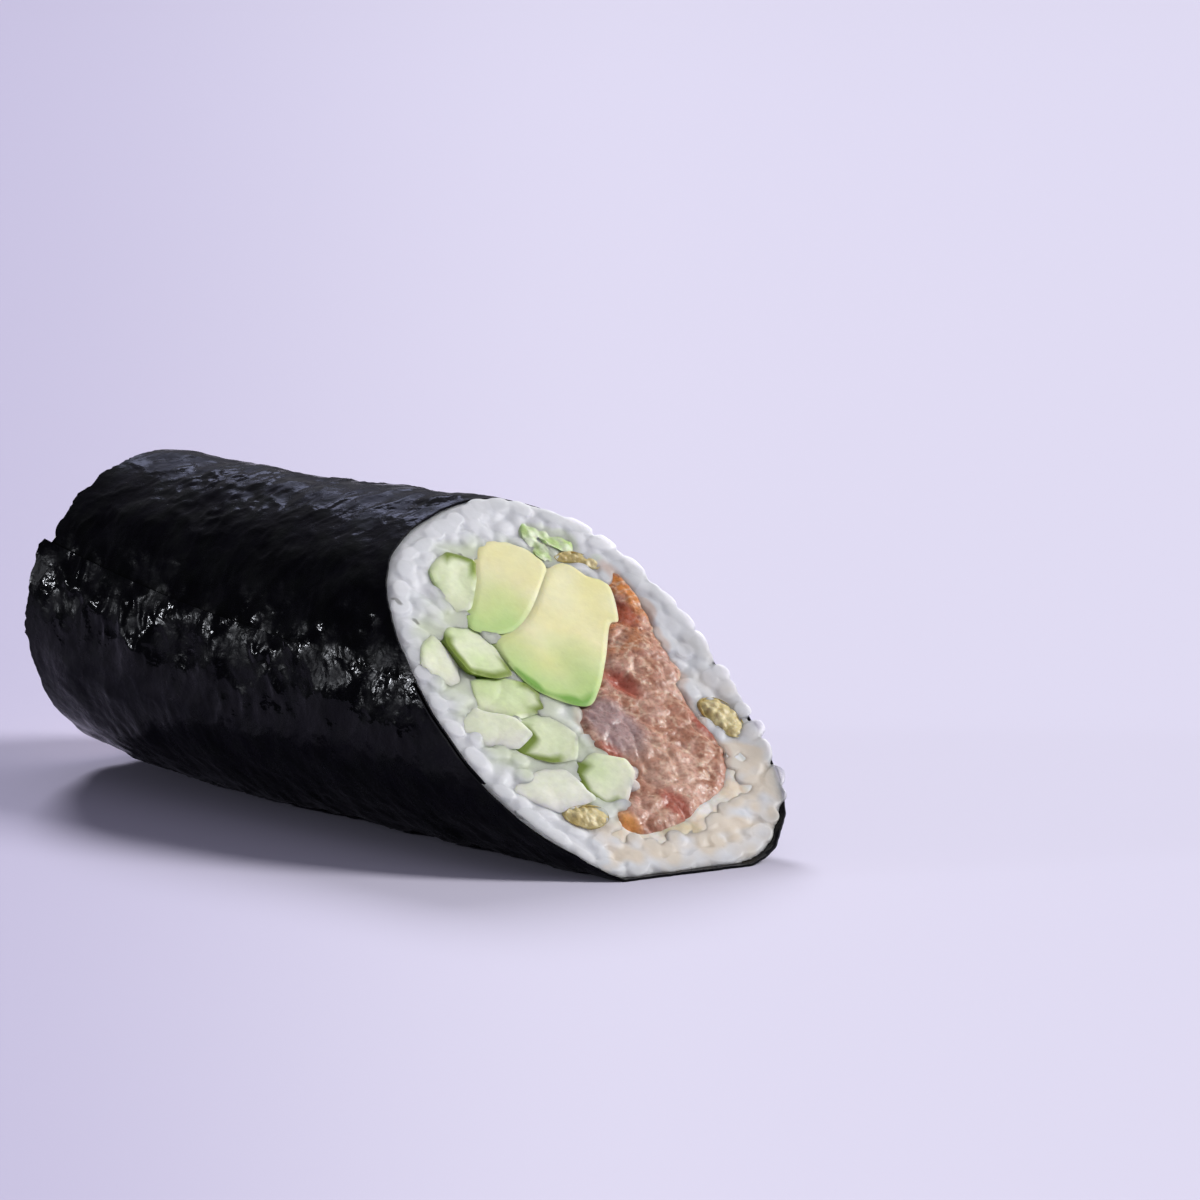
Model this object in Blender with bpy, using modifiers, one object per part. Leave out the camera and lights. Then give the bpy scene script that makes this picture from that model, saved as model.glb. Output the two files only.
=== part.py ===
"""Half of a thick hand roll: a sheet of nori rolled round rice, tuna, avocado and cucumber.

The roll lies along X on a narrow flat spot. Its front end, towards +X, is cut on a slant.
Towards its back end, at -X, it is rounder and narrower, with a ragged edge of nori.
Outlines are drawn across the roll, as (Y, Z) measured from its axis in roll radii.
"""

import math
import random

import bmesh
import bpy
from mathutils import Matrix, Vector, noise

# Driving dimensions, in metres and radians
ROLL_RADIUS = 0.027
BACK_X = -1.93 * ROLL_RADIUS
CUT_X = 1.993 * ROLL_RADIUS
CUT_LEAN = math.radians(51.4)
CUT_TURN = math.radians(14.5)
AXIS_HEIGHT = 0.925 * ROLL_RADIUS
SECTION_WAVES = ((2, 0.029, 0.099), (3, -0.019, -0.016), (4, -0.038, 0.006))

# The soft underside settles on the floor: below SETTLE flat, up to SETTLE_END in part,
# and nori that ends up less than FLOOR_REACH above the floor lies on it
SETTLE = 0.0009
SETTLE_END = 0.0040
FLOOR_REACH = 0.0003

# From the cut to the back end the section grows rounder and narrower, by these shares
BACK_ROUNDER = 0.57
BACK_NARROWER = 0.041

# The back end is drawn in further and lifts off the floor over this length
TAPER_LENGTH = 1.75 * ROLL_RADIUS
TAPER_SHARE = 0.033
TAPER_LIFT = 0.10 * ROLL_RADIUS
TAPER_LOOPS = 2

# The nori sheet: one turn and an overlap
NORI_THICKNESS = 0.0004
LAYER_STEP = 0.00075
SEAM_FRONT = math.radians(173)
SEAM_BACK = math.radians(151)
OVERLAP = math.radians(28)
OVERLAP_RAMP = math.radians(30)
LAP_STARTS = 1.1 * OVERLAP
NORI_COLUMNS = 46
NORI_ROWS = 12
WRINKLE_HEIGHT = 0.0010
WRINKLE_LENGTH = 0.012
SMOOTH_BACK = 0.08
SMOOTH_FRONT = 0.94
FRONT_WAVE = 0.0003
FRONT_WAVES = 8.0
BACK_RAGGED = 0.0010
BACK_WAVES = 6.8
OUTER_LAYER_EXTRA = 0.0013

# Clearances between neighbours
GAP = 0.00035
RICE_INSET = NORI_THICKNESS + GAP

# The rice
RICE_RECESS = 0.0008
RICE_BACK_RECESS = 0.0009
RICE_SIDES = 44
GRAIN_SIZE = (0.0029, 0.0026, 0.0061)
GRAIN_SIDES = 5
GRAIN_RINGS = 4
GRAIN_VARIES = (0.92, 1.06)
GRAIN_SHRINKS = (1.0, 0.85, 0.7, 0.55)
GRAIN_SPINS = 3
GRAIN_LIFT = 0.0004
UPRIGHT_SIZES = ((0.0029, 0.0026, 0.0034), (0.0023, 0.0020, 0.0030))
UPRIGHT_SINK = 0.0004
FRONT_GRAINS = 112
BACK_GRAINS = 52
GRAIN_SPACING = 0.0026
GRAIN_TRIES = 16000
GRAIN_TILT = math.radians(18)
GRAIN_ROOM = 0.0009
SECTION_REACH = 1.15
GRAIN_SEED = 11

# The tuna's lumps
LUMP_SIZE = (0.0034, 0.0028, 0.0016)
LUMP_VARIES = (0.75, 1.25)
LUMP_LEVEL = -0.0012
FRONT_LUMPS = 15
BACK_LUMPS = 5
LUMP_SPACING = 0.0046
LUMP_SEED = 5

# The fillings' outlines across the roll
AVOCADO_1 = ((-0.05, -0.07), (0.10, 0.00), (0.30, 0.155), (0.50, 0.32), (0.60, 0.35),
             (0.70, 0.50), (0.60, 0.55), (0.53, 0.61), (0.38, 0.58), (0.10, 0.40),
             (-0.10, 0.31), (-0.27, 0.26), (-0.30, 0.13), (-0.24, 0.01))
AVOCADO_2 = ((0.365, 0.60), (0.10, 0.435), (-0.10, 0.345), (-0.25, 0.34), (-0.33, 0.375),
             (-0.22, 0.46), (-0.10, 0.56), (0.00, 0.66), (0.10, 0.73), (0.22, 0.75),
             (0.32, 0.72), (0.38, 0.66))
CUCUMBERS = (
    ((-0.38, 0.46), (-0.31, 0.62), (-0.12, 0.70), (-0.04, 0.67), (-0.13, 0.59), (-0.27, 0.48)),
    ((-0.59, 0.27), (-0.50, 0.345), (-0.36, 0.32), (-0.335, 0.22), (-0.37, 0.13), (-0.47, 0.115),
     (-0.60, 0.15)),
    ((-0.86, 0.19), (-0.77, 0.27), (-0.65, 0.31), (-0.635, 0.2), (-0.68, 0.13), (-0.80, 0.12)),
    ((-0.68, -0.03), (-0.62, 0.075), (-0.42, 0.07), (-0.29, 0.02), (-0.32, -0.06),
     (-0.50, -0.085)),
    ((-0.86, -0.11), (-0.72, -0.05), (-0.57, -0.115), (-0.545, -0.18), (-0.65, -0.22),
     (-0.80, -0.19)),
    ((-0.49, -0.125), (-0.34, -0.12), (-0.29, -0.20), (-0.38, -0.285), (-0.52, -0.30),
     (-0.62, -0.265), (-0.51, -0.21)),
    ((-0.41, -0.49), (-0.38, -0.39), (-0.22, -0.33), (-0.10, -0.37), (-0.10, -0.43),
     (-0.25, -0.54), (-0.36, -0.555)),
    ((-0.80, -0.45), (-0.65, -0.40), (-0.50, -0.42), (-0.48, -0.49), (-0.70, -0.52)),
)
TUNA = ((0.84, 0.53), (0.77, 0.56), (0.66, 0.46), (0.45, 0.33), (0.20, 0.12), (0.00, -0.03),
        (-0.12, -0.13), (-0.20, -0.24), (-0.19, -0.31), (-0.06, -0.36), (-0.07, -0.44),
        (-0.22, -0.54), (-0.36, -0.60), (-0.39, -0.66), (-0.30, -0.71), (-0.10, -0.69),
        (0.05, -0.66), (0.20, -0.60), (0.40, -0.55), (0.53, -0.45), (0.61, -0.34),
        (0.61, -0.20), (0.65, -0.06), (0.72, 0.03), (0.76, 0.15), (0.80, 0.27), (0.83, 0.40))
MAYO = ((0.60, -0.38), (0.69, -0.36), (0.72, -0.44), (0.64, -0.54), (0.46, -0.63),
        (0.24, -0.70), (0.00, -0.755), (-0.25, -0.785), (-0.46, -0.765), (-0.54, -0.71),
        (-0.46, -0.67), (-0.30, -0.66), (0.00, -0.62), (0.30, -0.50))
LEAF_RUN = ((0.425, 0.665), (0.455, 0.71), (0.435, 0.765), (0.48, 0.81), (0.54, 0.795),
            (0.555, 0.745), (0.62, 0.725), (0.68, 0.745))
LEAF_THICKNESS = 0.0009
CRISPS = (
    ((0.68, -0.13), (0.79, -0.11), (0.86, -0.17), (0.83, -0.27), (0.73, -0.30), (0.66, -0.23)),
    ((0.50, 0.655), (0.60, 0.635), (0.70, 0.595), (0.75, 0.605), (0.72, 0.645), (0.62, 0.68)),
    ((-0.70, -0.60), (-0.63, -0.555), (-0.50, -0.555), (-0.44, -0.58), (-0.47, -0.63),
     (-0.60, -0.65)),
)
CRISP_LENGTHS = (0.009, 0.012, 0.007)
FILLING_STEPS = 2
CUTTER_OVERRUN = 0.004
PRISM_REACH = 4.0 * ROLL_RADIUS
SAME_POINT = 1e-6
WELD = 2e-6

# How far each filling's ends stand behind the cut and inside the back end
FILLING_ENDS = {
    "avocado_1": (0.0, 0.0004),
    "avocado_2": (0.0003, 0.0012),
    "cucumber_1": (0.0002, 0.0),
    "cucumber_2": (0.0, 0.0005),
    "cucumber_3": (0.0004, 0.0010),
    "cucumber_4": (0.0006, 0.0),
    "cucumber_5": (0.0, 0.0005),
    "cucumber_6": (0.0002, 0.0010),
    "cucumber_7": (0.0004, 0.0),
    "cucumber_8": (0.0006, 0.0005),
    "leaf": (0.0004, 0.0010),
    "tuna": (0.0004, 0.0006),
    "mayo": (0.0007, 0.0008),
}
CRISP_RECESS = 0.0002

# Colours and roughness of each kind of piece
LOOKS = {
    "nori": ((0.012, 0.013, 0.012), 0.35),
    "rice": ((0.80, 0.80, 0.77), 0.55),
    "tuna": ((0.48, 0.20, 0.15), 0.50),
    "avocado": ((0.78, 0.78, 0.42), 0.50),
    "cucumber": ((0.62, 0.74, 0.47), 0.40),
    "mayo": ((0.78, 0.62, 0.46), 0.45),
    "leaf": ((0.36, 0.56, 0.14), 0.45),
    "crisp": ((0.56, 0.38, 0.16), 0.60),
}

CUT_NORMAL = Vector((math.cos(CUT_LEAN) * math.cos(CUT_TURN),
                     -math.cos(CUT_LEAN) * math.sin(CUT_TURN),
                     math.sin(CUT_LEAN)))
CUT_POINT = Vector((CUT_X, 0.0, 0.0))
BACK_NORMAL = Vector((-1.0, 0.0, 0.0))
BEYOND_BACK = 1.2


def clear_scene():
    """Empties the file, so that the script gives the same result on every run."""
    for obj in list(bpy.data.objects):
        bpy.data.objects.remove(obj)


def new_collection(name):
    """A collection of its own under the scene."""
    collection = bpy.data.collections.new(name)
    bpy.context.scene.collection.children.link(collection)
    return collection


def look(kind, name):
    """A material of its own for one piece."""
    color, roughness = LOOKS[kind]
    material = bpy.data.materials.new(name)
    material.use_nodes = True
    shader = material.node_tree.nodes["Principled BSDF"]
    shader.inputs["Base Color"].default_value = (*color, 1.0)
    shader.inputs["Roughness"].default_value = roughness
    material.diffuse_color = (*color, 1.0)
    return material


def smoothstep(low, high, value):
    """0 below low, 1 above high, with a soft ramp between."""
    share = min(max((value - low) / (high - low), 0.0), 1.0)
    return share * share * (3.0 - 2.0 * share)


def section_radius(angle, along=0.0):
    """Outer radius of the nori, at an angle from +Y towards +Z; along is 0 at the cut, 1 behind."""
    waves = sum(c * math.cos(k * angle) + s * math.sin(k * angle) for k, c, s in SECTION_WAVES)
    radius = ROLL_RADIUS * (1.0 - BACK_NARROWER * along + (1.0 - BACK_ROUNDER * along) * waves)
    height = AXIS_HEIGHT + radius * math.sin(angle)
    if height < SETTLE_END:
        settled = max(height - SETTLE, 0.0) * SETTLE_END / (SETTLE_END - SETTLE)
        radius *= (settled - AXIS_HEIGHT) / (height - AXIS_HEIGHT)
    return radius


def cut_x(y, z, ahead=0.0):
    """Where the cut, moved ahead along its normal, crosses the line at (y, z)."""
    return CUT_X + (ahead - CUT_NORMAL.y * y - CUT_NORMAL.z * z) / CUT_NORMAL.x


def drawn_in(point):
    """The place of a point once the roll is rounded, narrowed and lifted towards its back."""
    x, y, z = point
    angle = math.atan2(z, y)
    along = (cut_x(y, z) - x) / (cut_x(y, z) - BACK_X)
    rounder = 1.0 + along * (section_radius(angle, 1.0) / section_radius(angle) - 1.0)
    share = min(max((BACK_X + TAPER_LENGTH - x) / TAPER_LENGTH, 0.0), BEYOND_BACK) ** 2
    scale = rounder * (1.0 - TAPER_SHARE * share)
    return Vector((x, y * scale, z * scale + TAPER_LIFT * share))


def rounded(corners, steps=FILLING_STEPS):
    """A closed smooth curve through corners given in roll radii, as points in metres."""
    count = len(corners)
    points = []
    for i in range(count):
        near = [Vector(corners[(i + k) % count]) for k in (-1, 0, 1, 2)]
        for step in range(steps):
            t = step / steps
            weights = (-0.5 * t + t * t - 0.5 * t ** 3, 1.0 - 2.5 * t * t + 1.5 * t ** 3,
                       0.5 * t + 2.0 * t * t - 1.5 * t ** 3, 0.5 * t ** 3 - 0.5 * t * t)
            place = sum((w * c for w, c in zip(weights, near)), Vector((0.0, 0.0)))
            points.append(place * ROLL_RADIUS)
    return points


def area(outline):
    """Signed area of a closed outline: positive when it runs anticlockwise."""
    pairs = zip(outline, outline[1:] + outline[:1])
    return 0.5 * sum(a.x * b.y - b.x * a.y for a, b in pairs)


def grown(outline, distance):
    """The outline moved outwards by a distance."""
    side = 1.0 if area(outline) > 0.0 else -1.0
    result = []
    for i, point in enumerate(outline):
        before = (point - outline[i - 1]).normalized()
        after = (outline[(i + 1) % len(outline)] - point).normalized()
        normal = Vector((before.y + after.y, -before.x - after.x)).normalized() * side
        bend = max(math.sqrt(max(0.5 + 0.5 * before.dot(after), 0.0)), 0.5)
        result.append(point + normal * distance / bend)
    return result


def inside(point, outline):
    """Whether a point lies inside a closed outline."""
    crossings = 0
    for a, b in zip(outline, outline[1:] + outline[:1]):
        if (a.y > point.y) != (b.y > point.y):
            if point.x < a.x + (b.x - a.x) * (point.y - a.y) / (b.y - a.y):
                crossings += 1
    return crossings % 2 == 1


def ribbon(run, thickness):
    """The outline of a thin strip that follows a run of points."""
    points = [Vector(p) * ROLL_RADIUS for p in run]
    left = []
    right = []
    for i, point in enumerate(points):
        ahead = points[min(i + 1, len(points) - 1)] - points[max(i - 1, 0)]
        normal = Vector((-ahead.y, ahead.x)).normalized() * thickness / 2.0
        left.append(point + normal)
        right.append(point - normal)
    return left + right[::-1]


def section_outline(inset, sides=RICE_SIDES):
    """The roll's cross-section, moved in from the nori's outer face."""
    angles = [2.0 * math.pi * i / sides for i in range(sides)]
    places = []
    for angle in angles:
        radius = section_radius(angle) - inset
        z = max(radius * math.sin(angle), inset - AXIS_HEIGHT)
        places.append(Vector((radius * math.cos(angle), z)))
    return places


def sliced(mesh, place, normal, remove=True):
    """Cuts a mesh at a plane, takes away what is ahead of it and closes the cut."""
    geometry = mesh.verts[:] + mesh.edges[:] + mesh.faces[:]
    bmesh.ops.bisect_plane(mesh, geom=geometry, plane_co=place, plane_no=normal,
                           clear_outer=remove)
    if remove:
        rim = [edge for edge in mesh.edges if edge.is_boundary]
        bmesh.ops.edgeloop_fill(mesh, edges=rim)


def extruded(name, outline, collection, ahead=0.0, back=BACK_X):
    """A solid that runs along the roll with a given outline, up to the slanting cut."""
    curve = bpy.data.curves.new(name, "CURVE")
    curve.dimensions = "2D"
    curve.fill_mode = "BOTH"
    curve.extrude = PRISM_REACH
    spline = curve.splines.new("POLY")
    spline.points.add(len(outline) - 1)
    for point, place in zip(spline.points, outline):
        point.co = (place.x, place.y, 0.0, 1.0)
    spline.use_cyclic_u = True
    guide = bpy.data.objects.new(name, curve)
    collection.objects.link(guide)
    along_x = Matrix(((0, 0, 1, 0), (1, 0, 0, 0), (0, 1, 0, 0), (0, 0, 0, 1)))
    depsgraph = bpy.context.evaluated_depsgraph_get()
    mesh = bpy.data.meshes.new_from_object(guide.evaluated_get(depsgraph))
    bpy.data.objects.remove(guide)
    work = bmesh.new()
    work.from_mesh(mesh)
    bmesh.ops.remove_doubles(work, verts=work.verts[:], dist=SAME_POINT)
    work.transform(along_x)
    sliced(work, CUT_POINT + CUT_NORMAL * ahead, CUT_NORMAL)
    sliced(work, Vector((back, 0.0, 0.0)), Vector((-1.0, 0.0, 0.0)))
    for i in range(TAPER_LOOPS):
        station = BACK_X + TAPER_LENGTH * (1.0 - i / TAPER_LOOPS)
        sliced(work, Vector((station, 0.0, 0.0)), Vector((1.0, 0.0, 0.0)), remove=False)
    for vert in work.verts:
        vert.co = drawn_in(vert.co)
    bmesh.ops.recalc_face_normals(work, faces=work.faces[:])
    work.to_mesh(mesh)
    work.free()
    mesh.name = name
    solid = bpy.data.objects.new(name, mesh)
    collection.objects.link(solid)
    return solid


def apply_boolean(target, operation, collection):
    """Joins or cuts the target with every object of a collection, then removes those."""
    modifier = target.modifiers.new(operation.lower(), "BOOLEAN")
    modifier.operation = operation
    modifier.solver = "EXACT"
    modifier.operand_type = "COLLECTION"
    modifier.collection = collection
    depsgraph = bpy.context.evaluated_depsgraph_get()
    mesh = bpy.data.meshes.new_from_object(target.evaluated_get(depsgraph))
    target.modifiers.clear()
    target.data = mesh
    for tool in list(collection.objects):
        bpy.data.objects.remove(tool)


def keep_largest(target):
    """Drops loose scraps, and merges points that a Boolean left on top of each other."""
    work = bmesh.new()
    work.from_mesh(target.data)
    bmesh.ops.remove_doubles(work, verts=work.verts[:], dist=WELD)
    bmesh.ops.dissolve_degenerate(work, dist=WELD, edges=work.edges[:])
    unseen = set(work.faces)
    islands = []
    while unseen:
        island = set()
        queue = [unseen.pop()]
        while queue:
            face = queue.pop()
            island.add(face)
            for edge in face.edges:
                for neighbour in edge.link_faces:
                    if neighbour in unseen:
                        unseen.remove(neighbour)
                        queue.append(neighbour)
        islands.append(island)
    islands.sort(key=len)
    scraps = [face for island in islands[:-1] for face in island]
    bmesh.ops.delete(work, geom=scraps, context="FACES")
    work.to_mesh(target.data)
    work.free()


def trim(target, neighbours, cutters):
    """Cuts the target back where its neighbours' outlines, grown by the gap, reach it."""
    for i, outline in enumerate(neighbours):
        wide = grown(outline, GAP)
        extruded(f"cutter_{i}", wide, cutters, CUTTER_OVERRUN, BACK_X - CUTTER_OVERRUN)
    apply_boolean(target, "DIFFERENCE", cutters)
    keep_largest(target)


def ellipsoid(name, size, place, turn, collection, kind):
    """One grain or lump as a low-sided ellipsoid."""
    work = bmesh.new()
    if kind == "grain":
        bmesh.ops.create_uvsphere(work, u_segments=GRAIN_SIDES, v_segments=GRAIN_RINGS, radius=0.5)
    else:
        bmesh.ops.create_icosphere(work, subdivisions=1, radius=1.0)
    scale = Matrix.Diagonal((*size, 1.0))
    work.transform(Matrix.Translation(place) @ turn @ scale)
    mesh = bpy.data.meshes.new(name)
    work.to_mesh(mesh)
    work.free()
    obj = bpy.data.objects.new(name, mesh)
    collection.objects.link(obj)
    return obj


def face_basis(normal):
    """Axes that lie in a cut face, with the normal as the third."""
    across = normal.cross(Vector((0.0, 1.0, 0.0))).normalized()
    return Matrix((across, normal.cross(across), normal)).transposed().to_4x4()


def clear_of(points, limit, holes):
    """Whether all points, seen along the roll, are inside the limit and outside the holes."""
    for point in points:
        flat = Vector((point.y, point.z))
        if not inside(flat, limit):
            return False
        if any(inside(flat, hole) for hole in holes):
            return False
    return True


def room(point, outlines):
    """The distance from a point to the nearest of several closed outlines."""
    nearest = ROLL_RADIUS
    for outline in outlines:
        for a, b in zip(outline, outline[1:] + outline[:1]):
            along = b - a
            share = min(max((point - a).dot(along) / along.length_squared, 0.0), 1.0)
            nearest = min(nearest, (point - a - along * share).length)
    return nearest


def test_points(obj):
    """The corners and edge middles of an object's mesh."""
    verts = [v.co.copy() for v in obj.data.vertices]
    middles = [(verts[e.vertices[0]] + verts[e.vertices[1]]) / 2.0 for e in obj.data.edges]
    return verts + middles


def shape_mesh(obj):
    """Rounds, narrows and lifts an object's mesh as the roll is."""
    for vert in obj.data.vertices:
        vert.co = drawn_in(vert.co)


def grain_poses(draw):
    """Sizes and lies to try for one grain: flat in the face first, then standing on end."""
    for shrink in GRAIN_SHRINKS:
        for spin in range(GRAIN_SPINS):
            size = [s * draw.uniform(*GRAIN_VARIES) for s in GRAIN_SIZE]
            size[2] *= shrink
            tilt = math.pi / 2.0 + draw.uniform(-1.0, 1.0) * GRAIN_TILT
            turn = Matrix.Rotation(draw.uniform(0.0, math.pi), 4, "Z")
            yield size, turn @ Matrix.Rotation(tilt, 4, "Y"), 0.0
    for size in UPRIGHT_SIZES:
        yield size, Matrix.Rotation(draw.uniform(0.0, math.pi), 4, "Z"), UPRIGHT_SINK


def lump_poses(draw):
    """Sizes and lies to try for one lump of minced fish."""
    for shrink in GRAIN_SHRINKS:
        size = [s * draw.uniform(*LUMP_VARIES) * shrink for s in LUMP_SIZE]
        yield size, Matrix.Rotation(draw.uniform(0.0, math.pi), 4, "Z"), 0.0


def scatter(kind, count, spacing, limit, holes, normal, level, draw, collection):
    """Strews grains or lumps over a cut face, each clear of the holes and the limit."""
    basis = face_basis(normal)
    poses = grain_poses if kind == "grain" else lump_poses
    centres = []
    for attempt in range(GRAIN_TRIES):
        if len(centres) == count:
            break
        flat = Vector([draw.uniform(-SECTION_REACH, SECTION_REACH) for i in range(2)]) * ROLL_RADIUS
        x = cut_x(flat.x, flat.y) if normal.x > 0.0 else BACK_X
        place = Vector((x, flat.x, flat.y)) + normal * (level + draw.uniform(0.0, GRAIN_LIFT))
        if any((place - other).length < spacing for other in centres):
            continue
        if not clear_of([place], limit, holes) or room(flat, [limit, *holes]) < GRAIN_ROOM:
            continue
        for size, lie, sink in poses(draw):
            name = f"{kind}_{len(centres)}"
            spot = place - normal * sink
            obj = ellipsoid(name, size, spot, basis @ lie, collection, kind)
            if clear_of(test_points(obj), limit, holes):
                shape_mesh(obj)
                centres.append(place)
                break
            bpy.data.objects.remove(obj)
    return len(centres)


def make_nori(collection):
    """One sheet rolled a full turn and an overlap, its free edge on the side."""
    turn_all = 2.0 * math.pi + OVERLAP
    work = bmesh.new()
    bmesh.ops.create_grid(work, x_segments=NORI_ROWS, y_segments=NORI_COLUMNS, size=0.5)
    for vert in work.verts:
        along = vert.co.x + 0.5
        turn = (0.5 - vert.co.y) * turn_all
        seam = SEAM_BACK + (SEAM_FRONT - SEAM_BACK) * along
        angle = seam + turn
        lap = 1.0 - smoothstep(LAP_STARTS, OVERLAP + OVERLAP_RAMP, turn)
        radius = section_radius(angle) + LAYER_STEP * lap
        y = radius * math.cos(angle)
        z = radius * math.sin(angle)
        edge = Vector((math.cos(angle), math.sin(angle), 0.0))
        front = cut_x(y, z) + FRONT_WAVE * noise.noise(edge * FRONT_WAVES)
        ragged = BACK_RAGGED * noise.noise(edge * BACK_WAVES) - OUTER_LAYER_EXTRA * lap
        x = BACK_X + (front - BACK_X) * along
        if along < 0.5 / NORI_ROWS:
            x += ragged
        spot = Vector((x, y, z)) / WRINKLE_LENGTH
        ends = smoothstep(0.0, SMOOTH_BACK, along) * (1.0 - smoothstep(SMOOTH_FRONT, 1.0, along))
        radius += WRINKLE_HEIGHT * max(noise.noise(spot), 0.0) * ends
        place = drawn_in((x, radius * math.cos(angle), radius * math.sin(angle)))
        if place.z < FLOOR_REACH - AXIS_HEIGHT:
            place.z = -AXIS_HEIGHT
        vert.co = place
    mesh = bpy.data.meshes.new("nori")
    work.to_mesh(mesh)
    work.free()
    mesh.shade_smooth()
    nori = bpy.data.objects.new("nori", mesh)
    collection.objects.link(nori)
    wall = nori.modifiers.new("thickness", "SOLIDIFY")
    wall.thickness = NORI_THICKNESS
    wall.offset = -1.0
    nori.data.materials.append(look("nori", "nori"))
    return nori


def make_long_piece(name, kind, outline, collection):
    """One filling that runs through the roll from the cut to the back end."""
    recess, inside_back = FILLING_ENDS[name]
    piece = extruded(name, outline, collection, -recess, BACK_X + inside_back)
    piece.data.materials.append(look(kind, name))
    return piece


def crisp_back(outline, length):
    """Where a short crisp piece ends inside the roll."""
    middle = sum(outline, Vector((0.0, 0.0))) / len(outline)
    return cut_x(middle.x, middle.y) - length


def make_crisp(name, outline, length, collection):
    """One crumb of fried batter, bedded in the rice just behind the cut."""
    piece = extruded(name, outline, collection, -CRISP_RECESS, crisp_back(outline, length))
    piece.data.materials.append(look("crisp", name))
    return piece


def make_rice(fillings, crisps, parts, cutters):
    """The bed of rice round the fillings, with grains standing out of both its ends."""
    limit = section_outline(RICE_INSET)
    rice = extruded("rice", limit, parts, -RICE_RECESS, BACK_X + RICE_BACK_RECESS)
    holes = [grown(outline, GAP) for outline in fillings]
    for i, hole in enumerate(holes):
        extruded(f"hole_{i}", hole, cutters, CUTTER_OVERRUN, BACK_X - CUTTER_OVERRUN)
    pockets = []
    for i, (outline, length) in enumerate(zip(crisps, CRISP_LENGTHS)):
        hole = grown(outline, GAP)
        pockets.append(hole)
        extruded(f"pocket_{i}", hole, cutters, CUTTER_OVERRUN, crisp_back(outline, length) - GAP)
    apply_boolean(rice, "DIFFERENCE", cutters)
    keep_largest(rice)
    grains = new_collection("grains")
    draw = random.Random(GRAIN_SEED)
    front = scatter("grain", FRONT_GRAINS, GRAIN_SPACING, limit, holes + pockets, CUT_NORMAL,
                    -RICE_RECESS, draw, grains)
    back = scatter("grain", BACK_GRAINS, GRAIN_SPACING, limit, holes, BACK_NORMAL,
                   -RICE_BACK_RECESS, draw, grains)
    apply_boolean(rice, "UNION", grains)
    keep_largest(rice)
    bpy.data.collections.remove(grains)
    rice.data.materials.append(look("rice", "rice"))
    print("grains at the cut:", front, "and at the back end:", back)
    return rice


def make_tuna(outline, neighbours, parts, cutters):
    """Minced tuna, trimmed to the pieces beside it, with lumps on both its ends."""
    tuna = make_long_piece("tuna", "tuna", outline, parts)
    trim(tuna, neighbours, cutters)
    lumps = new_collection("lumps")
    draw = random.Random(LUMP_SEED)
    holes = [grown(other, GAP) for other in neighbours]
    scatter("lump", FRONT_LUMPS, LUMP_SPACING, outline, holes, CUT_NORMAL, LUMP_LEVEL, draw, lumps)
    scatter("lump", BACK_LUMPS, LUMP_SPACING, outline, holes, BACK_NORMAL, LUMP_LEVEL, draw, lumps)
    apply_boolean(tuna, "UNION", lumps)
    keep_largest(tuna)
    bpy.data.collections.remove(lumps)
    tuna.data.materials.clear()
    tuna.data.materials.append(look("tuna", "minced_tuna"))
    return tuna


def stand_on_floor(pieces):
    """Hangs all pieces on one empty, with the middle of their box over the origin."""
    depsgraph = bpy.context.evaluated_depsgraph_get()
    corners = [Vector(corner) for piece in pieces
               for corner in piece.evaluated_get(depsgraph).bound_box]
    middle_x = (min(c.x for c in corners) + max(c.x for c in corners)) / 2.0
    middle_y = (min(c.y for c in corners) + max(c.y for c in corners)) / 2.0
    root = bpy.data.objects.new("hand_roll", None)
    pieces[0].users_collection[0].objects.link(root)
    root.location = (-middle_x, -middle_y, AXIS_HEIGHT)
    for piece in pieces:
        piece.parent = root
    print("the roll's axis crosses the cut at x", round(CUT_X - middle_x, 5),
          "y", round(-middle_y, 5), "z", round(AXIS_HEIGHT, 5))


def main():
    """Builds the half roll."""
    clear_scene()
    parts = new_collection("hand_roll")
    cutters = new_collection("cutters")
    avocado_1 = rounded(AVOCADO_1)
    avocado_2 = rounded(AVOCADO_2)
    cucumbers = [rounded(corners) for corners in CUCUMBERS]
    tuna_outline = rounded(TUNA)
    mayo_outline = rounded(MAYO)
    leaf_outline = ribbon(LEAF_RUN, LEAF_THICKNESS)
    crisps = [rounded(corners) for corners in CRISPS]
    pieces = [make_nori(parts)]
    pieces.append(make_long_piece("avocado_1", "avocado", avocado_1, parts))
    pieces.append(make_long_piece("avocado_2", "avocado", avocado_2, parts))
    for i, outline in enumerate(cucumbers):
        pieces.append(make_long_piece(f"cucumber_{i + 1}", "cucumber", outline, parts))
    pieces.append(make_long_piece("leaf", "leaf", leaf_outline, parts))
    pieces.append(make_tuna(tuna_outline, [avocado_1, cucumbers[6]], parts, cutters))
    mayo = make_long_piece("mayo", "mayo", mayo_outline, parts)
    trim(mayo, [tuna_outline], cutters)
    pieces.append(mayo)
    for i, (outline, length) in enumerate(zip(crisps, CRISP_LENGTHS)):
        pieces.append(make_crisp(f"crisp_{i + 1}", outline, length, parts))
    fillings = [avocado_1, avocado_2, *cucumbers, leaf_outline, tuna_outline, mayo_outline]
    pieces.append(make_rice(fillings, crisps, parts, cutters))
    bpy.data.collections.remove(cutters)
    stand_on_floor(pieces)
    for piece in pieces:
        depsgraph = bpy.context.evaluated_depsgraph_get()
        mesh = piece.evaluated_get(depsgraph).to_mesh()
        mesh.calc_loop_triangles()
        print(piece.name, "triangles", len(mesh.loop_triangles))


main()
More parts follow.
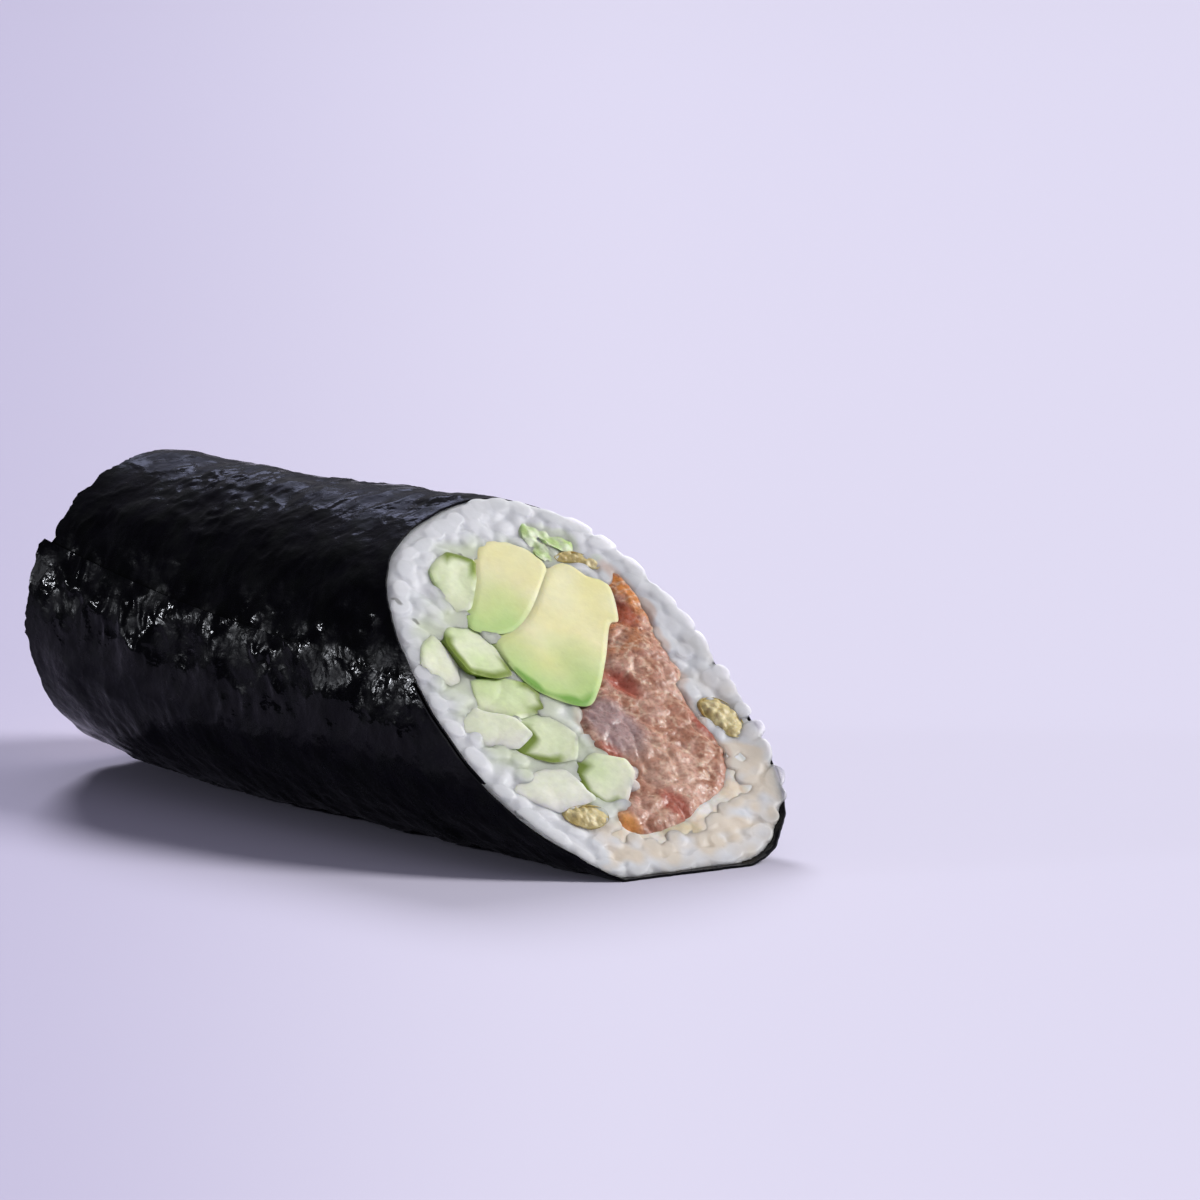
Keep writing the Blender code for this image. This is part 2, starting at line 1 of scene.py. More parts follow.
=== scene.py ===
# %% [markdown]
# Half of a thick hand roll, dressed over its CAD solids.
# The solids carry the size and the place of every piece. This file gives each of them the
# surface that the real food has: crinkled nori, single grains of rice, minced fish, soft
# avocado, wet cucumber. Every length is in metres, and the roll lies along X.

# %% Load the frame
import math

import bmesh
import bpy
import numpy as np
from mathutils import Matrix, Vector, kdtree, noise


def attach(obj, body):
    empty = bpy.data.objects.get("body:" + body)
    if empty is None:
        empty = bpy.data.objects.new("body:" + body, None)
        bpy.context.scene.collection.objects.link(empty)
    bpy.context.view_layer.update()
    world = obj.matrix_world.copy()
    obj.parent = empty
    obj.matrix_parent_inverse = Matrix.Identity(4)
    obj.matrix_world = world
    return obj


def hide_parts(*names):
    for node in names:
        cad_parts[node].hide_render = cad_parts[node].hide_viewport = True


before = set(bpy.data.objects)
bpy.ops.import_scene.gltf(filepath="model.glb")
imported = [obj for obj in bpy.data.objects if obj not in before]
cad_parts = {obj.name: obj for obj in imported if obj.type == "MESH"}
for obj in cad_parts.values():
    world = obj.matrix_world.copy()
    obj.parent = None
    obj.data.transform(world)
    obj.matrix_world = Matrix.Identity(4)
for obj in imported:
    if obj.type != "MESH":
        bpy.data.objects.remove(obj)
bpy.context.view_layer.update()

# %% [markdown]
# A hand roll isn't a plain cylinder. Its cross-section is a soft oval that grows rounder
# towards the back, its underside has settled flat, and its front is cut on a slant.
# The CAD source draws all that with a few formulas, so the same formulas are repeated here,
# and whatever is modelled straight can be bent into place by them. A lattice or a curve
# modifier could bend the pieces too, but they would only come near the solids' shape.

# %% The roll's measures
ROLL_RADIUS = 0.027
BACK_X = -1.93 * ROLL_RADIUS
CUT_X = 1.993 * ROLL_RADIUS
CUT_LEAN = math.radians(51.4)
CUT_TURN = math.radians(14.5)
AXIS_HEIGHT = 0.925 * ROLL_RADIUS
SECTION_WAVES = ((2, 0.029, 0.099), (3, -0.019, -0.016), (4, -0.038, 0.006))
SETTLE, SETTLE_END = 0.0009, 0.0040
BACK_ROUNDER, BACK_NARROWER = 0.57, 0.041
TAPER_LENGTH = 1.75 * ROLL_RADIUS
TAPER_SHARE, TAPER_LIFT = 0.033, 0.10 * ROLL_RADIUS
AXIS_AT_CUT = np.array((0.03701, 0.00096, 0.02498))
TO_WORLD = AXIS_AT_CUT - np.array((CUT_X, 0.0, 0.0))
NORMAL = np.array((math.cos(CUT_LEAN) * math.cos(CUT_TURN),
                   -math.cos(CUT_LEAN) * math.sin(CUT_TURN), math.sin(CUT_LEAN)))


def section_radius(angle, along=0.0):
    """Outer radius of the nori at an angle from +Y towards +Z; along is 0 at the cut, 1 behind."""
    waves = sum(c * np.cos(k * angle) + s * np.sin(k * angle) for k, c, s in SECTION_WAVES)
    radius = ROLL_RADIUS * (1.0 - BACK_NARROWER * along + (1.0 - BACK_ROUNDER * along) * waves)
    height = AXIS_HEIGHT + radius * np.sin(angle)
    settled = np.maximum(height - SETTLE, 0.0) * SETTLE_END / (SETTLE_END - SETTLE)
    low = height < SETTLE_END
    drop = np.where(low, height - AXIS_HEIGHT, 1.0)
    return np.where(low, radius * (settled - AXIS_HEIGHT) / drop, radius)


def cut_x(y, z):
    """Where the cut crosses a line that runs along the roll."""
    return CUT_X - (NORMAL[1] * y + NORMAL[2] * z) / NORMAL[0]


def bent(points):
    """Straight points rounded, narrowed and lifted as the roll is, and put in the frame."""
    x, y, z = points.T
    angle = np.arctan2(z, y)
    along = (cut_x(y, z) - x) / (cut_x(y, z) - BACK_X)
    rounder = 1.0 + along * (section_radius(angle, 1.0) / section_radius(angle) - 1.0)
    share = np.clip((BACK_X + TAPER_LENGTH - x) / TAPER_LENGTH, 0.0, 1.2) ** 2
    scale = rounder * (1.0 - TAPER_SHARE * share)
    return np.stack((x, y * scale, z * scale + TAPER_LIFT * share), axis=1) + TO_WORLD


print("the roll is", round((CUT_X - BACK_X) * 1000), "mm long on its axis")

# %% [markdown]
# The camera comes first, because it decides how much detail pays off. The picture was taken
# from a low angle in front of the slanting cut, with a long lens, so the roll's two ends look
# nearly equally large. A camera can be dragged into place by eye, but two angles, a distance
# and the point that it looks at can be put right one at a time.

# %% Camera
CAMERA_TURN, CAMERA_RISE = math.radians(44.94), math.radians(9.95)
CAMERA_DISTANCE = 1.2102
AIM_BEYOND_CUT, AIM_HEIGHT = 0.00463, 0.04034
forward = Vector((-math.sin(CAMERA_TURN) * math.cos(CAMERA_RISE),
                  math.cos(CAMERA_TURN) * math.cos(CAMERA_RISE), -math.sin(CAMERA_RISE)))
aim = Vector((AXIS_AT_CUT[0] + AIM_BEYOND_CUT, AXIS_AT_CUT[1], AIM_HEIGHT))
bpy.ops.object.camera_add(location=aim - forward * CAMERA_DISTANCE,
                          rotation=forward.to_track_quat("-Z", "Y").to_euler())
camera = bpy.context.object
camera.data.lens = 225.0
camera.data.sensor_width = 36.0
camera.data.clip_end = 60.0
bpy.context.scene.camera = camera
print("camera at", [round(v, 3) for v in camera.location])

# %% [markdown]
# The studio is a wide pale lavender floor. The camera looks down on it, so it also fills the
# background, and no curved backdrop is needed. Two soft suns light it: one behind the roll,
# low enough to throw its shadow towards the viewer, and one to the right, which shines on
# the slanting cut. The room is brightest above and to the right,
# and dark before the roll, so the nori stays black. Damp nori would mirror the sun behind it
# as glare, so that sun is kept out of reflections. Two panels take its place: a small one at
# the left puts wet glints on the side, and a faint blue one draws the sheen along the top.

# %% Node helpers
def added(tree, kind, values=(), **settings):
    """A new node with its settings and some of its inputs filled in."""
    node = tree.nodes.new(kind)
    for key, value in settings.items():
        setattr(node, key, value)
    for key, value in dict(values).items():
        node.inputs[key].default_value = value
    return node


def ramp(tree, source, low, high, bottom=0.0, top=1.0, shape="LINEAR"):
    """A value that goes from bottom to top while its source goes from low to high."""
    node = added(tree, "ShaderNodeMapRange", {"From Min": low, "From Max": high,
                                              "To Min": bottom, "To Max": top},
                 interpolation_type=shape)
    tree.links.new(source, node.inputs["Value"])
    return node.outputs["Result"]


print("two node helpers")

# %% Lights
SUNS = (
    ("back_light", (-0.71, 0.49, 0.50), 2.85, (0.97, 0.97, 1.0), 14.0),
    ("cut_light", (0.50, 0.60, 0.62), 2.80, (1.0, 0.99, 0.96), 18.0),
)
PANELS = (
    ("sheen", (-0.66, 0.54, 0.52), 0.62, (0.62, 0.67, 1.0), 1.6, 0.30),
    ("glints", (-0.70, -0.66, 0.27), 2.0, (0.90, 0.93, 1.0), 1.3, 0.05),
)


def studio_light(kind, name, toward, power, color, distance=0.0):
    """A light that shines at the roll from the direction given."""
    way = Vector(toward).normalized()
    bpy.ops.object.light_add(type=kind, location=way * distance + Vector((0.0, 0.0, 0.02)),
                             rotation=way.to_track_quat("Z", "Y").to_euler())
    light = bpy.context.object
    light.name = name
    light.data.energy = power
    light.data.color = color
    return light


for name, toward, power, color, softness in SUNS:
    sun = studio_light("SUN", name, toward, power, color)
    sun.data.angle = math.radians(softness)
    sun.visible_glossy = name != "back_light"
for name, toward, power, color, distance, size in PANELS:
    panel = studio_light("AREA", name, toward, power, color, distance)
    panel.data.shape = "SQUARE"
    panel.data.size = size
print(len(SUNS), "suns and", len(PANELS), "panels")

# %% Room and floor
def studio_room():
    """A room that is brightest above and to the right of the roll."""
    room = bpy.data.worlds.new("studio")
    bpy.context.scene.world = room
    room.use_nodes = True
    tree = room.node_tree
    way = added(tree, "ShaderNodeTexCoord")
    facing = added(tree, "ShaderNodeVectorMath", {1: (0.35, 0.75, 0.55)},
                   operation="DOT_PRODUCT")
    tree.links.new(way.outputs["Generated"], facing.inputs[0])
    background = tree.nodes["Background"]
    background.inputs["Color"].default_value = (0.86, 0.85, 1.0, 1.0)
    tree.links.new(ramp(tree, facing.outputs["Value"], -0.10, 0.95, 0.10, 0.42, "SMOOTHSTEP"),
                   background.inputs["Strength"])


studio_room()
bpy.context.scene.view_settings.view_transform = "Standard"
bpy.ops.mesh.primitive_plane_add(size=12.0)
floor = bpy.context.object
floor.name = "floor"
print("floor", floor.dimensions.x, "m wide")

# %% [markdown]
# Every finish here starts from the same shader. Its colour comes from a colour attribute that
# is painted on the mesh by place, with a little procedural mottling on Object coordinates,
# and its fine relief comes from a bump of the same kind. Pictures of food could be wrapped
# round the pieces instead, but they would stretch at the rims, and paint by place doesn't.

# %% A painted finish
def new_material(name, values):
    """A material with some inputs of its shader filled in, its nodes and its shader."""
    material = bpy.data.materials.new(name)
    material.use_nodes = True
    shader = material.node_tree.nodes["Principled BSDF"]
    for key, value in values.items():
        shader.inputs[key].default_value = value
    return material, material.node_tree, shader


def speckle(tree, place, size, detail):
    """Noise on the object's own coordinates, with spots of about the given size."""
    node = added(tree, "ShaderNodeTexNoise", {"Scale": 1.0 / size, "Detail": detail})
    tree.links.new(place.outputs["Object"], node.inputs["Vector"])
    return node.outputs["Fac"]


def finish(name, roughness, specular=0.5, scatter=0.0, scatter_radius=(1.0, 1.0, 1.0),
           scatter_scale=0.001, mottle=0.0, mottle_size=0.001, bump=0.0, bump_size=0.0005,
           bump_detail=2.0, rough_change=0.0):
    """A material painted by the mesh's own colour attribute."""
    material, tree, shader = new_material(name, {
        "Roughness": roughness, "Specular IOR Level": specular, "Subsurface Weight": scatter,
        "Subsurface Radius": scatter_radius, "Subsurface Scale": scatter_scale})
    paint = added(tree, "ShaderNodeAttribute", attribute_name="paint")
    place = added(tree, "ShaderNodeTexCoord")
    spots = speckle(tree, place, mottle_size, 3.0)
    product = added(tree, "ShaderNodeVectorMath", operation="SCALE")
    tree.links.new(paint.outputs["Color"], product.inputs[0])
    tree.links.new(ramp(tree, spots, 0.3, 0.7, 1.0 - mottle, 1.0 + mottle),
                   product.inputs["Scale"])
    tree.links.new(product.outputs["Vector"], shader.inputs["Base Color"])
    if rough_change:
        wet = ramp(tree, spots, 0.4, 0.6, roughness - rough_change, roughness + rough_change)
        tree.links.new(wet, shader.inputs["Roughness"])
    if bump:
        lift = added(tree, "ShaderNodeBump", {"Strength": 1.0, "Distance": bump})
        tree.links.new(speckle(tree, place, bump_size, bump_detail), lift.inputs["Height"])
        tree.links.new(lift.outputs["Normal"], shader.inputs["Normal"])
    return material


print("every finish is made by one function")

# %% The floor's finish
# The floor's colour darkens towards the viewer's left. This is painted shade, standing in for
# light that falls off to that side.
FLOOR_SHADED_LEFT, FLOOR_RIGHT = (0.465, 0.435, 0.585, 1.0), (0.605, 0.58, 0.705, 1.0)


def floor_finish():
    """Pale lavender, with painted shade that deepens it towards the viewer's left."""
    material, tree, shader = new_material("studio_floor",
                                          {"Roughness": 0.9, "Specular IOR Level": 0.1})
    place = added(tree, "ShaderNodeTexCoord")
    ray = added(tree, "ShaderNodeVectorMath", {1: tuple(camera.location)},
                operation="SUBTRACT")
    tree.links.new(place.outputs["Object"], ray.inputs[0])
    side = added(tree, "ShaderNodeMath", operation="DIVIDE")
    rightward = (math.cos(CAMERA_TURN), math.sin(CAMERA_TURN), 0.0)
    for i, way in enumerate((rightward, tuple(forward))):
        length = added(tree, "ShaderNodeVectorMath", {1: way}, operation="DOT_PRODUCT")
        tree.links.new(ray.outputs["Vector"], length.inputs[0])
        tree.links.new(length.outputs["Value"], side.inputs[i])
    tint = added(tree, "ShaderNodeMix", {"A": FLOOR_SHADED_LEFT, "B": FLOOR_RIGHT},
                 data_type="RGBA")
    tree.links.new(ramp(tree, side.outputs["Value"], -0.10, 0.01, shape="SMOOTHSTEP"),
                   tint.inputs["Factor"])
    tree.links.new(tint.outputs["Result"], shader.inputs["Base Color"])
    return material


floor.data.materials.append(floor_finish())
print("floor finished")

# %% [markdown]
# A mesh's points are moved and painted as arrays, which is much faster than one by one. Food
# is uneven at every size, so most shapes and colours below lean on two kinds of noise: soft
# noise, and pebble noise, which has lumps with creases between them.

# %% Mesh helpers
def points_of(obj):
    """The points of a mesh as an array."""
    flat = np.empty(len(obj.data.vertices) * 3, dtype=np.float32)
    obj.data.vertices.foreach_get("co", flat)
    return flat.reshape(-1, 3).astype(np.float64)


def set_points(obj, points):
    """Moves the points of a mesh to new places."""
    obj.data.vertices.foreach_set("co", points.astype(np.float32).ravel())
    obj.data.update()


def painted(obj, colors):
    """Gives each point of a mesh its own colour."""
    layer = obj.data.attributes.new("paint", "FLOAT_COLOR", "POINT")
    rgba = np.ones((len(obj.data.vertices), 4), dtype=np.float32)
    rgba[:, :3] = np.clip(colors, 0.0, 1.0)
    layer.data.foreach_set("color", rgba.ravel())


def deselect():
    """Leaves nothing selected, since an operator acts on all that is."""
    if bpy.context.mode != "OBJECT":
        bpy.ops.object.mode_set(mode="OBJECT")
    bpy.ops.object.select_all(action="DESELECT")


def only(obj):
    """Selects one object and makes it active."""
    deselect()
    obj.select_set(True)
    bpy.context.view_layer.objects.active = obj


print("the floor has", len(points_of(floor)), "points")

# %% Noise and colours
def fbm(points, size, octaves=2):
    """Soft noise at each point, with lumps of about the given size."""
    result = np.zeros(len(points))
    for octave in range(octaves):
        share = 0.5 ** octave
        scaled = points * (2.0 ** octave / size)
        result += share * np.array([noise.noise(p) for p in scaled.tolist()])
    return result


def cells(points, size):
    """Pebble noise: 0 in the creases between lumps, near 1 on top of them."""
    scaled = (points / size).tolist()
    result = np.empty(len(points))
    for i, place in enumerate(scaled):
        near = noise.voronoi(place)[0]
        result[i] = near[1] - near[0]
    return np.clip(result * 1.6, 0.0, 1.0)


def mixed(color, other, share):
    """A colour, or one for each point, moved towards another by a share for each point."""
    share = np.clip(share, 0.0, 1.0)[:, None]
    return np.asarray(color) * (1.0 - share) + np.asarray(other) * share


def smoothstep(low, high, value):
    """0 below low, 1 above high, with a soft ramp between."""
    share = np.clip((value - low) / (high - low), 0.0, 1.0)
    return share * share * (3.0 - 2.0 * share)


ruler = np.linspace(0.0, 0.1, 100)[:, None] * np.ones(3)
print("along a ruler the noise swings up to", round(np.abs(fbm(ruler, 0.005)).max(), 2))

# %% [markdown]
# The fillings are long sticks and wedges, and their cut ends are what the eye reads.
# Each one is drawn as a closed outline across the roll. A filled curve would be quicker, but
# its ends would have no points inside them to carry any relief. So a grid of small faces is
# trimmed to the outline, its border is pulled onto the line, and the sheet is extruded the
# length of the roll. The outlines' corners are those of the solids, in roll radii.

# %% The fillings' corners
AVOCADO_1 = ((-0.05, -0.07), (0.10, 0.00), (0.30, 0.155), (0.50, 0.32), (0.60, 0.35),
             (0.70, 0.50), (0.60, 0.55), (0.53, 0.61), (0.38, 0.58), (0.10, 0.40),
             (-0.10, 0.31), (-0.27, 0.26), (-0.30, 0.13), (-0.24, 0.01))
AVOCADO_2 = ((0.365, 0.60), (0.10, 0.435), (-0.10, 0.345), (-0.25, 0.34), (-0.33, 0.375),
             (-0.22, 0.46), (-0.10, 0.56), (0.00, 0.66), (0.10, 0.73), (0.22, 0.75),
             (0.32, 0.72), (0.38, 0.66))
CUCUMBERS = (
    ((-0.38, 0.46), (-0.31, 0.62), (-0.12, 0.70), (-0.04, 0.67), (-0.13, 0.59), (-0.27, 0.48)),
    ((-0.59, 0.27), (-0.50, 0.345), (-0.36, 0.32), (-0.335, 0.22), (-0.37, 0.13), (-0.47, 0.115),
     (-0.60, 0.15)),
    ((-0.86, 0.19), (-0.77, 0.27), (-0.65, 0.31), (-0.635, 0.2), (-0.68, 0.13), (-0.80, 0.12)),
    ((-0.68, -0.03), (-0.62, 0.075), (-0.42, 0.07), (-0.29, 0.02), (-0.32, -0.06),
     (-0.50, -0.085)),
    ((-0.86, -0.11), (-0.72, -0.05), (-0.57, -0.115), (-0.545, -0.18), (-0.65, -0.22),
     (-0.80, -0.19)),
    ((-0.49, -0.125), (-0.34, -0.12), (-0.29, -0.20), (-0.38, -0.285), (-0.52, -0.30),
     (-0.62, -0.265), (-0.51, -0.21)),
    ((-0.41, -0.49), (-0.38, -0.39), (-0.22, -0.33), (-0.10, -0.37), (-0.10, -0.43),
     (-0.25, -0.54), (-0.36, -0.555)),
    ((-0.80, -0.45), (-0.65, -0.40), (-0.50, -0.42), (-0.48, -0.49), (-0.70, -0.52)),
)
TUNA = ((0.84, 0.53), (0.77, 0.56), (0.66, 0.46), (0.45, 0.33), (0.20, 0.12), (0.00, -0.03),
        (-0.12, -0.13), (-0.20, -0.24), (-0.19, -0.31), (-0.06, -0.36), (-0.07, -0.44),
        (-0.22, -0.54), (-0.36, -0.60), (-0.39, -0.66), (-0.30, -0.71), (-0.10, -0.69),
        (0.05, -0.66), (0.20, -0.60), (0.40, -0.55), (0.53, -0.45), (0.61, -0.34),
        (0.61, -0.20), (0.65, -0.06), (0.72, 0.03), (0.76, 0.15), (0.80, 0.27), (0.83, 0.40))
MAYO = ((0.60, -0.38), (0.69, -0.36), (0.72, -0.44), (0.64, -0.54), (0.46, -0.63),
        (0.24, -0.70), (0.00, -0.755), (-0.25, -0.785), (-0.46, -0.765), (-0.54, -0.71),
        (-0.46, -0.67), (-0.30, -0.66), (0.00, -0.62), (0.30, -0.50))
LEAF_RUN = ((0.425, 0.665), (0.455, 0.71), (0.435, 0.765), (0.48, 0.81), (0.54, 0.795),
            (0.555, 0.745), (0.62, 0.725), (0.68, 0.745))
LEAF_THICKNESS = 0.0009
CRISPS = (
    ((0.68, -0.13), (0.79, -0.11), (0.86, -0.17), (0.83, -0.27), (0.73, -0.30), (0.66, -0.23)),
    ((0.50, 0.655), (0.60, 0.635), (0.70, 0.595), (0.75, 0.605), (0.72, 0.645), (0.62, 0.68)),
    ((-0.70, -0.60), (-0.63, -0.555), (-0.50, -0.555), (-0.44, -0.58), (-0.47, -0.63),
     (-0.60, -0.65)),
)
CRISP_LENGTHS = (0.009, 0.012, 0.007)
print(len(CUCUMBERS), "cucumber sticks and", len(CRISPS), "crumbs")

# %% Smooth outlines
def smooth_outline(corners, steps=6, bend=0.5):
    """A closed curve through corners in roll radii; a small bend keeps the sides straight."""
    corners = np.array(corners)
    before, after = np.roll(corners, 1, axis=0), np.roll(corners, -1, axis=0)
    beyond = np.roll(corners, -2, axis=0)
    points = []
    for t in np.arange(steps) / steps:
        points.append(bend * (-t + 2.0 * t * t - t ** 3) * before
                      + (1.0 + (bend - 3.0) * t * t + (2.0 - bend) * t ** 3) * corners
                      + (bend * t + (3.0 - 2.0 * bend) * t * t + (bend - 2.0) * t ** 3) * after
                      + bend * (t ** 3 - t * t) * beyond)
    return np.stack(points, axis=1).reshape(-1, 2) * ROLL_RADIUS


TUNA_OUTLINE, MAYO_OUTLINE = smooth_outline(TUNA), smooth_outline(MAYO)
print("the tuna's outline has", len(TUNA_OUTLINE), "points")

# %% Near and inside an outline
def nearest_on(outline, points):
    """The distance from each point to a closed outline, and the place on it."""
    starts, ends = outline, np.roll(outline, -1, axis=0)
    runs = ends - starts
    lengths = np.maximum((runs ** 2).sum(axis=1), 1e-14)
    best = np.full(len(points), 1e9)
    place = points.copy()
    for start, run, length in zip(starts, runs, lengths):
        share = np.clip(((points - start) @ run) / length, 0.0, 1.0)[:, None]
        spot = start + share * run
        away = ((points - spot) ** 2).sum(axis=1)
        closer = away < best
        best[closer] = away[closer]
        place[closer] = spot[closer]
    return np.sqrt(best), place


def within(outline, points):
    """Whether each point lies inside a closed outline."""
    result = np.zeros(len(points), dtype=bool)
    for start, end in zip(outline, np.roll(outline, -1, axis=0)):
        if start[1] == end[1]:
            continue
        crosses = (start[1] > points[:, 1]) != (end[1] > points[:, 1])
        share = (points[:, 1] - start[1]) / (end[1] - start[1])
        result ^= crosses & (points[:, 0] < start[0] + share * (end[0] - start[0]))
    return result


def depth_in(outline, points):
    """How deep each point lies inside an outline; negative outside."""
    distance, place = nearest_on(outline, points)
    return np.where(within(outline, points), distance, -distance)


corner = MAYO_OUTLINE[:1]
print("the sauce's first corner is", round(-depth_in(TUNA_OUTLINE, corner)[0] * 1000, 1),
      "mm outside the tuna")

# %% Moved outlines
def turn_sign(outline):
    """1 for an outline that runs anticlockwise, -1 for one that runs clockwise."""
    turned = np.roll(outline, -1, axis=0)
    area = (outline[:, 0] * turned[:, 1] - turned[:, 0] * outline[:, 1]).sum()
    return 1.0 if area > 0.0 else -1.0


def grown(outline, distance):
    """The outline moved outwards by a distance."""
    before = outline - np.roll(outline, 1, axis=0)
    after = np.roll(outline, -1, axis=0) - outline
    before /= np.linalg.norm(before, axis=1)[:, None] + 1e-12
    after /= np.linalg.norm(after, axis=1)[:, None] + 1e-12
    ahead = before + after
    normal = np.stack((ahead[:, 1], -ahead[:, 0]), axis=1)
    normal /= np.linalg.norm(normal, axis=1)[:, None] + 1e-12
    return outline + normal * distance * turn_sign(outline)


wider = np.ptp(grown(TUNA_OUTLINE, 0.001), axis=0) - np.ptp(TUNA_OUTLINE, axis=0)
print("grown by 1 mm, the tuna is", np.round(wider * 1000, 1), "mm larger across and upwards")

# %% [markdown]
# In a firmly rolled roll the green pieces are squeezed together. Growing their outlines all
# round would swell them to petals, so each side of a polygon is moved out by its own step,
# half of the gap to its nearest neighbour, and the new corners are where the sides cross.

# %% Packed green pieces
TOUCH = 0.00014
MOST_AVOCADO, MOST_CUCUMBER = [0.011, 0.022], [0.042] * 8
SHARP_CORNER = 0.45
CIRCLE_ANGLES = np.linspace(0.0, 2.0 * np.pi, 72, endpoint=False)
CIRCLE = np.stack((np.cos(CIRCLE_ANGLES), np.sin(CIRCLE_ANGLES)), axis=1)
INNER_SKIN = CIRCLE * (section_radius(CIRCLE_ANGLES) / ROLL_RADIUS - 0.08)[:, None]


def moved_sides(corners, steps):
    """The corners of a polygon whose sides have each moved outwards by a step."""
    ahead = np.roll(corners, -1, axis=0) - corners
    ahead /= np.linalg.norm(ahead, axis=1)[:, None]
    normals = np.stack((ahead[:, 1], -ahead[:, 0]), axis=1) * turn_sign(corners)
    moved = []
    for i, corner in enumerate(corners):
        pair, ways = np.array((steps[i - 1], steps[i])), normals[[i - 1, i]]
        if abs(np.linalg.det(ways)) > SHARP_CORNER:
            moved.append(corner + np.linalg.solve(ways, pair))
        else:
            moved.append(corner + 0.5 * (pair[:, None] * ways).sum(axis=0))
    return np.array(moved)


def packed(shapes, most, still):
    """Polygons whose sides move outwards until they nearly touch, in roll radii."""
    shapes = [np.array(corners) for corners in shapes]
    result = []
    for i, corners in enumerate(shapes):
        others = shapes[:i] + shapes[i + 1:] + still
        steps = []
        for corner, side in zip(corners, np.roll(corners, -1, axis=0) - corners):
            spots = corner + np.linspace(0.1, 0.9, 7)[:, None] * side
            gap = min(nearest_on(other, spots)[0].min() for other in others)
            steps.append(min(most[i], max(0.5 * gap - TOUCH / ROLL_RADIUS, 0.0)))
        result.append(moved_sides(corners, steps))
    return result


GREENS = packed([AVOCADO_1, AVOCADO_2, *CUCUMBERS], MOST_AVOCADO + MOST_CUCUMBER,
                [TUNA_OUTLINE / ROLL_RADIUS, INNER_SKIN])
GREENS = [smooth_outline(corners, bend=0.5 if i < 2 else 0.15)
          for i, corners in enumerate(GREENS)]
print("the large piece of avocado has", len(GREENS[0]), "outline points")

# %% A sheet trimmed to outlines
CELL = (0.00025, 0.00018)


def trimmed_sheet(name, outline, holes=(), cell=CELL):
    """A flat sheet of small faces across the roll, inside an outline and outside the holes."""
    low, high = outline.min(axis=0) - 2e-4, outline.max(axis=0) + 2e-4
    counts = [max(int((high[i] - low[i]) / cell[i]), 3) for i in range(2)]
    deselect()
    bpy.ops.mesh.primitive_grid_add(x_subdivisions=counts[0], y_subdivisions=counts[1], size=1.0)
    sheet = bpy.context.object
    sheet.name = sheet.data.name = name
    flat = low + (points_of(sheet)[:, :2] + 0.5) * (high - low)
    depth = depth_in(outline, flat)
    for hole in holes:
        depth = np.minimum(depth, -depth_in(hole, flat))
    kept = depth > 0.3 * min(cell)
    work = bmesh.new()
    work.from_mesh(sheet.data)
    work.verts.ensure_lookup_table()
    for vert, spot in zip(work.verts, flat):
        vert.co = (0.0, spot[0], spot[1])
    doomed = [vert for vert, keep in zip(work.verts, kept) if not keep]
    bmesh.ops.delete(work, geom=doomed, context="VERTS")
    loose = [vert for vert in work.verts if not vert.link_faces]
    bmesh.ops.delete(work, geom=loose, context="VERTS")
    border = [vert for vert in work.verts if vert.is_boundary]
    spots = np.array([(vert.co.y, vert.co.z) for vert in border])
    distance, place = nearest_on(outline, spots)
    for hole in holes:
        other, other_place = nearest_on(hole, spots)
        closer = other < distance
        distance[closer], place[closer] = other[closer], other_place[closer]
    for vert, spot in zip(border, place):
        vert.co.y, vert.co.z = spot
    bmesh.ops.remove_doubles(work, verts=work.verts[:], dist=2e-5)
    work.to_mesh(sheet.data)
    work.free()
    return sheet


print("the faces at a cut end are", [round(size * 1000, 2) for size in CELL], "mm")

# %% From a sheet to a long solid
STATIONS = (0.012, 0.06, 0.25, 0.40, 0.52, 0.64, 0.76, 0.88, 0.988)


def long_solid(sheet, stations=STATIONS):
    """Extrudes a sheet along the roll by one unit, with rings of edges at the stations."""
    only(sheet)
    bpy.ops.object.mode_set(mode="EDIT")
    bpy.ops.mesh.select_all(action="SELECT")
    bpy.ops.mesh.extrude_region_move(TRANSFORM_OT_translate={"value": (-1.0, 0.0, 0.0)})
    for station in stations:
        bpy.ops.mesh.select_all(action="SELECT")
        bpy.ops.mesh.bisect(plane_co=(-station, 0.0, 0.0), plane_no=(1.0, 0.0, 0.0))
    bpy.ops.mesh.select_all(action="SELECT")
    bpy.ops.mesh.normals_make_consistent(inside=False)
    bpy.ops.object.mode_set(mode="OBJECT")
    return sheet


def stretched(points, recess, back_inside, length=None):
    """Places a unit-long solid between the cut and the back end, in the straight roll."""
    y, z = points[:, 1], points[:, 2]
    front = cut_x(y, z) - recess / NORMAL[0]
    if length is None:
        back = np.full(len(points), BACK_X + back_inside)
    else:
        back = np.full(len(points), cut_x(y.mean(), z.mean()) - length)
    return np.stack((front + (back - front) * -points[:, 0], y, z), axis=1)


print(len(STATIONS), "rings of edges along each filling")

# %% [markdown]
# One routine makes every filling from its outline: it trims the sheet, extrudes it, presses
# the ends' relief into the points that lie in the cut face or the back face, rounds their
# rims a little, and bends the whole into place. Each filling could be sculpted on its own,
# but then no two would meet at the cut. So only the relief and the colours differ.

# %% One routine for every filling
FRONT, MIDDLE, BACK = 0, 1, 2
BESIDE_GAP = 0.00005
OUT_OF = {FRONT: NORMAL, BACK: np.array((-1.0, 0.0, 0.0))}


